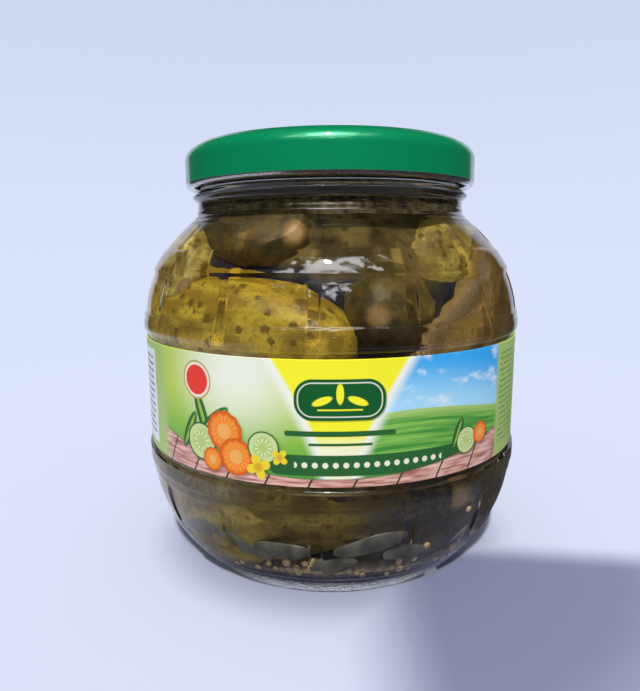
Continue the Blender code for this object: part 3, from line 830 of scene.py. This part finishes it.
# ---- materials: colours are linear ----
WHITE = (1.0, 1.0, 1.0)
GLASS_TINT = (0.97, 0.98, 0.98)
# painted shade: the middle of a groove is tinted darker, for the light that the groove bends away
GROOVE_TINT = (0.66, 0.64, 0.60)
GROOVE_SHADE = (0.50, 0.48, 0.44)  # of the light that passes the middle of a groove
FLANK_LIGHT = (2.6, 2.5, 2.0)  # of the light that passes its flanks
GLASS_IOR = 1.5
BRINE_IOR = 1.34
WET_IOR = 1.12  # of glass as seen from brine
BRINE_COLOUR = (0.93, 0.86, 0.47)
BRINE_DENSITY = 30.0
# deep and light tone of each kind of pickle skin
SKINS = {
    "pale": ((0.22, 0.135, 0.010), (0.46, 0.315, 0.026)),
    "olive": ((0.17, 0.120, 0.024), (0.42, 0.32, 0.075)),
    # shaded: darker tones for the low front pickle, as painted shade
    "shaded": ((0.115, 0.080, 0.013), (0.27, 0.195, 0.034)),
    "dark": ((0.040, 0.028, 0.008), (0.105, 0.074, 0.018)),
    "amber": ((0.070, 0.040, 0.008), (0.165, 0.098, 0.018)),
}
# painted shade that the shaded skin darkens to towards +x
SHADED_END = (0.030, 0.024, 0.012)
WET_SHEEN = (1.0, 0.80, 0.25)
WART_COLOUR = (0.100, 0.052, 0.008)
SCAR_COLOUR = (0.50, 0.31, 0.13)
SCAR_EDGE = (0.22, 0.13, 0.04)
ONION_TONES = ((0.115, 0.108, 0.076), (0.28, 0.265, 0.185))
SEED_TONES = ((0.30, 0.19, 0.085), (0.55, 0.38, 0.20))
HERB_TONES = ((0.10, 0.083, 0.050), (0.36, 0.29, 0.14))
# painted shade: skins deep in the pack and the gaps between them are kept dark
CORE_SKIN = ((0.050, 0.036, 0.014), (0.135, 0.100, 0.034))
CORE_SPOT = (0.030, 0.018, 0.006)
CORE_GAP = (0.018, 0.018, 0.028)
SEDIMENT = ((0.085, 0.068, 0.056), (0.20, 0.155, 0.12))
LACQUER = ((0.0, 0.285, 0.104), (0.0, 0.315, 0.120))
STEEL = ((0.26, 0.25, 0.25), (0.62, 0.61, 0.60))
# the lining's near-black tones are partly painted shade inside the lid
LINING = ((0.05, 0.048, 0.045), (0.09, 0.086, 0.08))


def operation(kind, flipped=False):
    """A method of Field that adds one Math node, with the field first or, flipped, last."""
    def apply(field, *others):
        values = (*others, field) if flipped else (field, *others)
        return field.n.math(kind, *values)
    return apply


class Field:
    """A value that varies over a surface. Arithmetic with it adds Math nodes."""

    def __init__(self, n, socket):
        self.n, self.socket = n, socket

    __add__, __sub__, __mul__ = operation("ADD"), operation("SUBTRACT"), operation("MULTIPLY")
    __truediv__, __pow__, __abs__ = operation("DIVIDE"), operation("POWER"), operation("ABSOLUTE")
    __rsub__ = operation("SUBTRACT", flipped=True)
    at_least, at_most, above = operation("MAXIMUM"), operation("MINIMUM"), operation("GREATER_THAN")
    sine, cosine, arctan2 = operation("SINE"), operation("COSINE"), operation("ARCTAN2")
    fraction, floor = operation("FRACT"), operation("FLOOR")

    def ease(self, low, high):
        """0 below low and 1 above high, or the other way round when low is the larger."""
        span = (low, high, 0.0, 1.0) if low < high else (high, low, 1.0, 0.0)
        return self.n.add("MapRange", (self, *span), interpolation_type="SMOOTHSTEP")

    def falloff(self, middle, blur):
        """1 well under middle, 0 well over it, with blur to either side."""
        return ((self - middle) / blur).ease(1.0, -1.0)


class Nodes:
    """Short calls that add nodes to one node tree. A value may be a field, a number or a colour."""

    def __init__(self, tree, material=None):
        self.tree, self.material = tree, material
        tree.nodes.clear()

    def feed(self, socket, value):
        if isinstance(value, Field):
            self.tree.links.new(value.socket, socket)
        elif isinstance(value, tuple) and len(value) == 3 and len(socket.default_value) == 4:
            socket.default_value = (*value, 1.0)
        else:
            socket.default_value = value

    def add(self, kind, inputs=(), output=0, **settings):
        """Add a node, set its inputs by place or by name, and give one of its outputs."""
        node = self.tree.nodes.new("ShaderNode" + kind)
        for key, value in settings.items():
            setattr(node, key, value)
        for key, value in inputs.items() if isinstance(inputs, dict) else enumerate(inputs):
            self.feed(node.inputs[key], value)
        return Field(self, node.outputs[output]) if node.outputs else None

    def math(self, kind, *values):
        return self.add("Math", values, operation=kind)

    def mix(self, factor, first, second):
        inputs = {0: factor, 6: first, 7: second}
        return self.add("Mix", inputs, 2, data_type="RGBA", blend_type="MIX")

    def split(self, vector):
        node = self.add("SeparateXYZ", [vector]).socket.node
        return [Field(self, socket) for socket in node.outputs]

    def join(self, *parts):
        return self.add("CombineXYZ", parts)

    def length(self, *parts):
        return self.add("VectorMath", [self.join(*parts)], "Value", operation="LENGTH")

    def noise(self, vector, scale, detail=2.0, stretch=None):
        if stretch:
            vector = self.add("Mapping", {"Vector": vector, "Scale": stretch})
        return self.add("TexNoise", {"Vector": vector, "Scale": scale, "Detail": detail})

    def attribute(self, name, output="Fac"):
        return self.add("Attribute", output=output, attribute_name=name)

    def place(self, kind="Object"):
        return self.add("TexCoord", output=kind)

    def ray(self, kind):
        """1 for rays of one kind, such as Shadow or Diffuse."""
        return self.add("LightPath", output="Is " + kind + " Ray")

    def bump(self, height, distance, strength):
        return self.add("Bump", {"Height": height, "Distance": distance, "Strength": strength})

    def shader(self, **inputs):
        inputs = {key.replace("_", " "): value for key, value in inputs.items()}
        return self.add("BsdfPrincipled", inputs)

    def clear(self, tint=WHITE):
        return self.add("BsdfTransparent", [tint])

    def either(self, share, first, second):
        """The first surface where share is 0, the second where it is 1."""
        return self.add("MixShader", (share, first, second))

    def see_through(self, surface, tint=WHITE):
        """Let shadow and diffuse rays pass a clear surface straight, so what is inside is lit."""
        return self.either(self.ray("Shadow").at_least(self.ray("Diffuse")), surface, self.clear(tint))

    def output(self, surface, volume=None):
        """Put a surface on the material, and give the material."""
        inputs = {"Surface": surface, "Volume": volume} if volume else {"Surface": surface}
        self.add("OutputMaterial", inputs)
        return self.material


def new_material(name):
    material = bpy.data.materials.new(name)
    material.use_nodes = True
    return Nodes(material.node_tree, material)


def glass_material():
    """Clear glass. Its wetted inside bends light as glass against brine does."""
    n = new_material("clear_glass")
    place = n.place()
    z = n.split(place)[2]
    stipple = n.noise(place, 900.0, 1.0) * z.ease(7.5 * MM, 4.0 * MM)
    ripple = n.noise(place, 150.0, 2.0, stretch=(1.0, 1.0, 0.6)) * 0.8
    cut = n.attribute("cut")
    flank = cut.ease(0.04, 0.3) * cut.ease(0.96, 0.7)
    middle = cut.ease(0.5, 0.95)
    # the middle of each groove takes the darker tint, as painted shade
    dry = n.shader(Base_Color=n.mix(middle, GLASS_TINT, GROOVE_TINT), Roughness=flank * 0.22,
                   IOR=GLASS_IOR, Transmission_Weight=1.0,
                   Normal=n.bump(stipple + ripple, 0.25 * MM, 0.6))
    wetted = n.shader(Base_Color=GLASS_TINT, Roughness=0.0, IOR=WET_IOR, Transmission_Weight=1.0)
    # a groove in the shoulder gathers light at its flanks and spreads it in the middle
    high = z.ease(LABEL_PANEL[1], UPPER_STAVES[0])
    light = n.mix(high * middle, WHITE, GROOVE_SHADE)
    light = n.mix(high * flank, light, FLANK_LIGHT)
    return n.output(n.see_through(n.either(n.attribute("wet").above(0.5), dry, wetted), light))


def brine_material():
    """Weak green-gold brine. Only its free surface bends light: the wetted glass does it elsewhere."""
    n = new_material("brine")
    top = n.shader(Base_Color=WHITE, Roughness=0.0, IOR=BRINE_IOR, Transmission_Weight=1.0)
    surface = n.either(n.attribute("free").above(0.5), n.clear(), top)
    volume = n.add("VolumeAbsorption", (BRINE_COLOUR, BRINE_DENSITY))
    return n.output(n.see_through(surface), volume)


def pickle_material(kind):
    deep, light = SKINS[kind]
    n = new_material("pickle_" + kind)
    skin = n.attribute("skin", "Vector")
    streaks = n.noise(skin, 0.22, 4.0, stretch=(1.0, 1.0, 0.35)).ease(0.38, 0.64)
    colour = n.mix(streaks, deep, light)
    # painted shade: the shaded skin darkens towards +x, the jar's darker side
    if kind == "shaded":
        x = n.split(n.place())[0]
        colour = n.mix(x.ease(6.0 * MM, 20.0 * MM), colour, SHADED_END)
    mottle = n.noise(skin, 0.8, 5.0).ease(0.45, 0.68)
    colour = n.mix(mottle * 0.65, colour, deep)
    ragged = (n.noise(skin, 1.6, 2.0) - 0.5) * 0.7
    spots = (n.attribute("wart") + ragged).ease(0.25, 0.62)
    colour = n.mix(spots * 0.85, colour, WART_COLOUR)
    flecks = n.noise(skin, 3.2, 2.0).ease(0.62, 0.72)
    colour = n.mix(flecks * 0.25, colour, light)
    scar = n.attribute("scar") + ragged * 0.5
    colour = n.mix(scar.ease(0.0, 0.45), colour, SCAR_EDGE)
    colour = n.mix(scar.ease(0.35, 0.95), colour, SCAR_COLOUR)
    return n.output(n.shader(
        Base_Color=colour, Roughness=0.38, IOR=1.4, Specular_IOR_Level=0.25, Sheen_Weight=0.35,
        Sheen_Roughness=0.35, Sheen_Tint=WET_SHEEN,
        Normal=n.bump(n.noise(skin, 2.2, 4.0), 0.45 * MM, 0.45)))


def onion_material():
    n = new_material("onion")
    veins = n.noise(n.place(), 260.0, 3.0, stretch=(1.0, 1.0, 0.2))
    return n.output(n.shader(
        Base_Color=n.mix(veins.ease(0.35, 0.7), *ONION_TONES), Roughness=0.3, IOR=1.36,
        Specular_IOR_Level=0.2, Transmission_Weight=0.6, Normal=n.bump(veins, 0.2 * MM, 0.5)))


def seed_material():
    n = new_material("mustard_seed")
    tone = n.noise(n.place(), 420.0, 2.0).ease(0.35, 0.65)
    rind = n.bump(n.noise(n.place(), 2500.0), 0.05 * MM, 0.5)
    return n.output(n.shader(Base_Color=n.mix(tone, *SEED_TONES), Roughness=0.5, Normal=rind))


def herb_material():
    n = new_material("dill")
    tone = n.noise(n.place(), 500.0, 3.0)
    return n.output(n.shader(
        Base_Color=n.mix(tone.ease(0.35, 0.7), *HERB_TONES), Roughness=0.9,
        Specular_IOR_Level=0.05, Normal=n.bump(tone, 0.8 * MM, 0.8)))


def core_material():
    """Blurred skins darkened as painted shade, and dark navy patches of painted shade for the gaps deep
    in the pack, and sediment at its foot.
    """
    n = new_material("pack_shade")
    place = n.place()
    z = n.split(place)[2]
    patches = n.noise(place, 34.0, 2.0).ease(0.42, 0.56)
    skin = n.mix(n.noise(place, 150.0, 4.0).ease(0.35, 0.65), *CORE_SKIN)
    skin = n.mix(n.noise(place, 330.0, 1.0).ease(0.62, 0.70) * 0.7, skin, CORE_SPOT)
    colour = n.mix(patches, CORE_GAP, skin)
    sediment = n.mix(n.noise(place, 800.0, 3.0).ease(0.38, 0.66), *SEDIMENT)
    colour = n.mix(z.ease(SEDIMENT_Z, SEDIMENT_Z - 3.0 * MM), colour, sediment)
    lumps = n.bump(n.noise(place, 60.0, 2.0), 6.0 * MM, 0.6)
    return n.output(n.shader(
        Base_Color=colour, Roughness=0.9, Specular_IOR_Level=0.05, Normal=lumps))


def lid_material():
    """Gloss green lacquer on pressed steel, with the curl's lower edge left bare."""
    n = new_material("green_lacquer")
    place = n.place()
    z = n.split(place)[2]
    bare = z.ease(BARE_STEEL_Z + 0.1 * MM, BARE_STEEL_Z - 0.1 * MM)
    lacquer = n.mix(n.noise(place, 60.0, 3.0), *LACQUER)
    steel = n.mix(n.noise(place, 2600.0, 2.0).ease(0.45, 0.66), *STEEL)
    return n.output(n.shader(
        Base_Color=n.mix(bare, lacquer, steel), Roughness=bare * -0.14 + 0.32,
        Metallic=bare * 0.75 + 0.2, Specular_IOR_Level=0.2, Coat_Weight=0.7, Coat_Roughness=0.05,
        Normal=n.bump(n.noise(place, 3500.0, 1.0), 0.03 * MM, 0.5)))


def lining_material():
    n = new_material("lid_lining")
    tone = n.noise(n.place(), 300.0, 2.0)
    return n.output(n.shader(Base_Color=n.mix(tone, *LINING), Roughness=0.5))


# ---- print ----
class Print:
    """Paints shapes over one another. u runs round the label from its front and v up it, in mm."""

    def __init__(self, n, u, v, colour):
        self.n, self.u, self.v, self.colour = n, u, v, colour

    def paint(self, mask, colour, strength=1.0):
        self.colour = self.n.mix(mask * strength, self.colour, colour)

    def oval(self, u, v, half_u, half_v, turn=0.0, soft=PRINT_EDGE):
        """Mask of an oval whose long way is turned by turn radians."""
        du, dv = self.u - u, self.v - v
        c, s = math.cos(turn), math.sin(turn)
        away = self.n.length((du * c + dv * s) / half_u, (dv * c - du * s) / half_v)
        return away.falloff(1.0, soft / min(half_u, half_v))

    def panel(self, u_span, v_span, corner=0.5):
        """Mask of a rectangle with rounded corners."""
        sides = []
        for place, (low, high) in ((self.u, u_span), (self.v, v_span)):
            sides.append((place - high).at_least(low - place) + corner)
        outside = self.n.length(*[side.at_least(0.0) for side in sides])
        inside = sides[0].at_least(sides[1]).at_most(0.0)
        return (outside + inside).falloff(corner, PRINT_EDGE)

    def rules(self, u_span, v_span, gap, colour, strength):
        """Broken lines across a panel, where a real label has its small print."""
        row = self.v / gap
        line = abs(row.fraction() - 0.5).falloff(0.21, 0.06)
        pieces = self.n.noise(self.n.join(self.u, row.floor(), 0.0), 0.9, 1.0)
        line = line * pieces.ease(0.38, 0.42)
        self.paint(line * self.panel(u_span, v_span), colour, strength)

    def polar(self, u, v, radius, turn):
        """Distance from a point as a share of a radius, and the angle about it."""
        du, dv = self.u - u, self.v - v
        return self.n.length(du, dv) / radius, dv.arctan2(du) - turn

    def shade_under(self, u, v, radius):
        self.paint(self.oval(u + 0.3, v - 0.4, radius, radius, soft=0.9), PRINT_SHADE, 0.6)

    def add_group(self, draw, *values):
        """Let draw paint inside a node group of its own: one long tree is slow to build."""
        tree = bpy.data.node_groups.new(draw.__name__, "ShaderNodeTree")
        for label, kind in (("Colour", "Color"), ("U", "Float"), ("V", "Float")):
            tree.interface.new_socket(label, in_out="INPUT", socket_type="NodeSocket" + kind)
        tree.interface.new_socket("Colour", in_out="OUTPUT", socket_type="NodeSocketColor")
        n = Nodes(tree)
        given = tree.nodes.new("NodeGroupInput").outputs
        colour, u, v = [Field(n, socket) for socket in given[:3]]
        art = Print(n, u, v, colour)
        draw(art, *values)
        n.feed(tree.nodes.new("NodeGroupOutput").inputs[0], art.colour)
        self.colour = self.n.add("Group", (self.colour, self.u, self.v), node_tree=tree)


def draw_cucumber(art, u, v, radius, turn):
    art.shade_under(u, v, radius)
    away, angle = art.polar(u, v, radius, turn)
    art.paint(away.falloff(1.0, PRINT_EDGE / radius), CUCUMBER_RIND)
    art.paint(away.falloff(0.91, 0.03), CUCUMBER_FLESH)
    lobes = (angle * 3.0).cosine() * 0.06
    art.paint((away + lobes).falloff(0.62, 0.06), CUCUMBER_HEART)
    ring = abs(away - 0.42).falloff(0.12, 0.04)
    pips = (angle * 11.0).cosine().ease(0.35, 0.75)
    art.paint(ring * pips, CUCUMBER_PIP)


def draw_carrot(art, u, v, radius, turn):
    art.shade_under(u, v, radius)
    away, angle = art.polar(u, v, radius, turn)
    away = away + (angle * 12.0).cosine() * 0.03
    art.paint(away.falloff(1.0, PRINT_EDGE / radius), CARROT_RIM)
    art.paint(away.falloff(0.84, 0.14), CARROT_FLESH)
    rays = abs((angle * 9.0).cosine()) ** 3.0
    band = abs(away - 0.62).falloff(0.14, 0.08)
    art.paint(rays * band, CARROT_HEART, 0.6)
    art.paint(away.falloff(0.40, 0.05), CARROT_HEART)


def draw_flower(art, u, v, radius, turn):
    """A mustard flower of four petals."""
    art.shade_under(u, v, 0.7 * radius)
    away, angle = art.polar(u, v, radius, turn)
    reach = abs((angle * 2.0).cosine()) * 0.55 + 0.45
    art.paint((away - reach).falloff(0.0, 0.06), FLOWER_YELLOW)
    art.paint(away.ease(0.55, 0.15), FLOWER_HEART, 0.7)


def draw_leaf(art, u, v, half_u, half_v, turn):
    art.paint(art.oval(u, v, half_u, half_v, turn), LEAF_GREEN)
    art.paint(art.oval(u, v, 0.85 * half_u, 0.08 * half_u, turn, 0.1), MEADOW_LIGHT, 0.7)


def draw_plate(art, u_span, v_span, corner, line_inset, line_width):
    """A green plate with a pale line just inside its edge."""
    insets = (0.0, line_inset, line_inset + line_width)
    for inset, ink in zip(insets, (PLATE_GREEN, CREAM, PLATE_GREEN)):
        spans = [(low + inset, high - inset) for low, high in (u_span, v_span)]
        art.paint(art.panel(*spans, corner - inset), ink)


# in the order in which they are painted: middle u and v, then radius and turn, or for a leaf half
# its length, half its width and its turn
MOTIFS = [
    (draw_leaf, -41.0, 11.0, 6.0, 1.7, 1.1),
    (draw_leaf, -36.0, 16.5, 6.2, 1.8, 1.9),
    (draw_leaf, -31.5, 15.5, 5.6, 1.6, 0.65),
    (draw_cucumber, -36.5, 8.6, 5.2, 0.2),
    (draw_carrot, -28.5, 12.6, 5.4, 0.0),
    (draw_carrot, -25.0, 6.2, 5.0, 0.2),
    (draw_cucumber, -17.2, 9.6, 4.3, 0.5),
    (draw_carrot, -32.6, 4.4, 3.2, 0.4),
    (draw_flower, -18.6, 4.4, 3.4, 0.35),
    (draw_flower, -12.8, 7.4, 2.3, 0.9),
    (draw_leaf, 35.5, 11.0, 4.2, 1.5, 1.2),
    (draw_cucumber, 38.8, 8.4, 3.8, 0.7),
    (draw_carrot, 44.6, 9.4, 3.0, 0.1),
]
ROUNDEL = (-37.5, 25.2)
PLATE = ((-9.0, 13.8), (17.3, 27.7))
PLATE_SHADE = ((-8.7, 14.1), (17.0, 27.4))
PLATE_CORNER = 4.6
PLATE_SEEDS = [(-2.0, 22.2, 0.35), (6.8, 22.2, -0.35), (2.4, 24.0, 1.57)]  # middle and turn
SIDE_PANELS = [(-106.0, -60.5), (72.0, 112.0), (-156.0, -116.0)]
BACK_PLATE = ((118.0, 146.0), (6.0, 26.0))


def print_fields(art):
    """The large fields of colour: greens on the left, yellow in front, sky over hills on the right."""
    n, u, v = art.n, art.u, art.v
    art.paint(v.ease(4.0, 24.0), MEADOW_LIGHT)
    art.paint(v.ease(11.0, -3.0), MEADOW_DEEP, 0.8)
    art.paint(art.oval(-25.0, 29.0, 15.0, 13.0, soft=11.0), GLOW, 0.9)
    above = v - ((u * 0.07).sine() * 2.2 + 17.0)
    sky = n.mix(above.ease(0.0, 14.0), SKY_PALE, SKY_DEEP)
    cloud = n.noise(n.join(u * 0.11, v * 0.22, 0.0), 1.0, 4.0)
    sky = n.mix(cloud.ease(0.54, 0.74), sky, CLOUD)
    furrows = n.noise(n.join(u * 0.04, above * 0.9, 3.0), 1.0, 3.0)
    hills = n.mix(furrows.ease(0.35, 0.65), HILL_DEEP, HILL_LIGHT)
    hills = n.mix(above.ease(-3.0, 0.0), hills, HILL_TOP)
    art.paint(u.ease(8.0, 12.0), n.mix(above.ease(-0.15, 0.15), hills, sky))
    side = abs(u - 2.5) - v.at_least(0.0) ** 1.4 * 0.115
    art.paint(side.ease(6.5, 2.6), GLOW)
    art.paint(side.ease(3.0, 1.4), FIELD_YELLOW)
    art.paint(side.ease(5.0, 1.0) * v.ease(15.0, 9.0), GLOW, 0.75)


def print_ground(art):
    """A dark band with beads and a strip of planks along the foot of the label."""
    n, u, v = art.n, art.u, art.v
    band = (3.0, 8.4)
    art.paint(art.panel((-16.0, 36.0), band, 2.6), BAND_GREEN)
    bead = (u / BEAD_GAP).fraction() - 0.5
    beads = n.length(bead * BEAD_GAP, v - 5.8).falloff(0.75, 0.12)
    art.paint(beads * art.panel((-9.1, 29.9), band), CREAM)
    planks = n.noise(n.join(u * 0.12, v * 1.3, 0.0), 1.0, 3.0)
    wood = n.mix(planks.ease(0.3, 0.7), PLANK_DEEP, PLANK_LIGHT)
    joint = ((u - v * 0.5) / PLANK_WIDTH).fraction()
    wood = n.mix(abs(joint - 0.5).falloff(0.025, 0.012), wood, PRINT_SHADE)
    over = v - (u * u * 0.0026 + 2.1)
    art.paint(over.falloff(0.0, 0.15), wood)
    art.paint(abs(over).ease(0.35, 0.1), PRINT_SHADE, 0.4)


def print_motifs(art):
    """Plain motifs: slices of vegetable, leaves and flowers, a roundel, a plate and two rules."""
    for draw, *values in MOTIFS:
        art.add_group(draw, *values)
    for radius, ink in ((5.2, GOLD), (4.7, CREAM), (4.0, ROUNDEL_RED)):
        art.paint(art.oval(*ROUNDEL, radius, radius), ink)
    art.paint(art.panel(*PLATE_SHADE, PLATE_CORNER), PRINT_SHADE, 0.5)
    draw_plate(art, *PLATE, PLATE_CORNER, 0.8, 0.3)
    for u, v, turn in PLATE_SEEDS:
        art.paint(art.oval(u, v, 2.6, 0.95, turn), FIELD_YELLOW)
    art.paint(art.panel((-3.2, 8.0), (19.8, 20.2), 0.15), FIELD_YELLOW)
    art.paint(art.panel((-11.5, 16.5), (13.2, 14.6), 0.6), BAND_GREEN)
    art.paint(art.panel((-5.5, 10.5), (10.8, 11.5), 0.3), BAND_GREEN)


def print_sides(art):
    """Pale fields with panels of plain rules on the sides and the back."""
    art.paint(art.u.ease(-50.0, -56.0), SIDE_GREEN)
    art.paint(art.u.ease(52.0, 54.0), SIDE_GREEN)
    for low, high in SIDE_PANELS:
        art.paint(art.panel((low, high), (2.2, 30.3), 0.8), PANEL_WHITE)
        art.rules((low + 2.0, high - 2.0), (4.2, 28.5), 2.05, RULE_GREY, 0.9)
    art.rules((55.0, 68.0), (3.5, 30.0), 1.6, LEAF_GREEN, 0.5)
    draw_plate(art, *BACK_PLATE, 4.0, 1.0, 0.4)


def label_material():
    n = new_material("printed_paper")
    x, y, z = n.split(n.place())
    u = x.arctan2(y * -1.0) * (LABEL_R / MM)
    art = Print(n, u, (z - LABEL_Z[0]) / MM, MEADOW)
    for draw in (print_fields, print_ground, print_motifs, print_sides):
        art.add_group(draw)
    fibre = n.bump(n.noise(n.place(), 2200.0, 2.0), 0.01 * MM, 0.4)
    return n.output(n.shader(
        Base_Color=art.colour, Roughness=0.42, Specular_IOR_Level=0.2, Normal=fibre))


# ---- stage ----
FLOOR_R = 1.2
FLOOR_COLOUR = (0.60, 0.645, 0.80)
FLOOR_SHADED = (0.205, 0.225, 0.345)
# painted shade, seen only by gloss: the floor in front and on the right, as if a shadow lay there
FLOOR_MIRRORED = (0.05, 0.05, 0.06)  # the floor as gloss in front and on the right sees it
SHADE_REACH = (0.15, 0.09)  # the shade on the floor fades out between these distances
FOOT_SHADE = (0.066, 0.046)  # and the one round the foot between these
SKY_LOW = (0.708, 0.768, 0.965)
SKY_HIGH = (0.610, 0.680, 0.870)
SOFT_LOW = (0.36, 0.37, 0.41)
SOFT_HIGH = (0.40, 0.41, 0.45)
FRONT_DARK = (0.020, 0.020, 0.024)
FRONT_LOW = (0.05, 0.05, 0.06)
FRONT_GLOW = (9.0, 9.0, 9.4)
GLOW_DIRECTION = (-0.03, -0.56, 0.826)
GLOW_REACH = 0.45
SUN_DIRECTION = (-0.01, -0.454, 0.891)
SUN_STRENGTH = 2.9
SUN_COLOUR = (1.0, 0.985, 0.96)


def floor_material():
    n = new_material("floor")
    place = n.place()
    x, y, z = n.split(place)
    away = n.length(x, y, z)
    mirrored = (n.ray("Glossy") - n.ray("Transmission")).at_least(0.0)
    side = (y * -0.6 + x).ease(-0.05, 0.0)
    # painted shade in reflections: gloss sees the floor dark in front and on the right
    colour = n.mix(mirrored * side, FLOOR_COLOUR, FLOOR_MIRRORED)
    shade = (x * 0.12 + y).ease(-0.008, -0.024) * x.ease(0.0, 0.03) * away.ease(*SHADE_REACH)
    shade = shade.at_least(away.ease(*FOOT_SHADE) * 0.6)
    matt = n.shader(Base_Color=n.mix(shade, colour, FLOOR_SHADED), Roughness=0.9,
                    Specular_IOR_Level=0.0)
    return n.output(n.either(away.ease(0.22, 0.62), matt, n.clear()))


def make_floor():
    bm = bmesh.new()
    bmesh.ops.create_circle(bm, cap_ends=True, segments=96, radius=FLOOR_R)
    floor = add_object("floor", new_mesh("floor", bm))
    floor.data.materials.append(floor_material())


def make_world():
    """A plain backdrop for the camera and soft light for matt surfaces. Gloss has a pale backdrop
    behind the jar, darker surroundings in front of it and a broken glow round the sun."""
    world = bpy.data.worlds.new("studio")
    bpy.context.scene.world = world
    world.cycles.sampling_method = "NONE"
    world.use_nodes = True
    n = Nodes(world.node_tree)
    direction = n.place("Generated")
    x, y, z = n.split(direction)
    backdrop = n.mix(z.ease(-0.05, 0.45), SKY_LOW, SKY_HIGH)
    behind = abs(x.arctan2(y)).ease(math.radians(43.0), math.radians(37.0)) * z.ease(0.55, 0.35)
    away = n.add("VectorMath", (direction, GLOW_DIRECTION), "Value", operation="DISTANCE")
    ragged = (n.noise(direction, 9.0, 5.0) - 0.42) * 1.5
    glow = (away + ragged).ease(GLOW_REACH, 0.6 * GLOW_REACH) * z.ease(0.935, 0.90)
    front = n.mix(glow, FRONT_DARK, FRONT_GLOW)
    front = n.mix(z.ease(-0.02, -0.12), front, FRONT_LOW)
    gloss = n.mix(behind, front, SKY_LOW)
    colour = n.mix(n.ray("Diffuse"), gloss, n.mix(z.ease(-0.3, 0.6), SOFT_LOW, SOFT_HIGH))
    colour = n.mix(n.ray("Camera"), colour, backdrop)
    n.add("OutputWorld", [n.add("Background", [colour])])


def make_sun():
    data = bpy.data.lights.new("key", "SUN")
    data.energy = SUN_STRENGTH
    data.color = SUN_COLOUR
    data.angle = math.radians(2.0)
    sun = add_object("key", data)
    sun.location = SUN_DIRECTION
    sun.rotation_euler = Vector(SUN_DIRECTION).to_track_quat("Z", "Y").to_euler()


def make_camera():
    data = bpy.data.cameras.new("camera")
    data.sensor_fit = "HORIZONTAL"
    data.sensor_width = SENSOR_MM
    data.lens = FOCAL_PX / FRAME_WIDTH_PX * SENSOR_MM
    data.clip_start = 0.01
    camera = add_object("camera", data)
    camera.location = CAMERA_PLACE
    camera.rotation_euler = (math.pi / 2 - CAMERA_PITCH, CAMERA_ROLL, CAMERA_YAW)
    bpy.context.scene.camera = camera


def main():
    make_camera()
    make_world()
    make_sun()
    make_floor()
    make_glass(glass_material())
    make_brine(brine_material())
    make_label(label_material())
    make_lid(lid_material())
    make_lining(lining_material())
    make_core(core_material())
    make_onions(onion_material())
    make_seeds(seed_material())
    make_herbs(herb_material())
    skins = {kind: pickle_material(kind) for kind in SKINS}
    for layer, (*shape, kind) in enumerate(PICKLES):
        make_pickle(layer, *shape, skins[kind])
    bpy.context.scene.view_settings.view_transform = "Standard"


main()
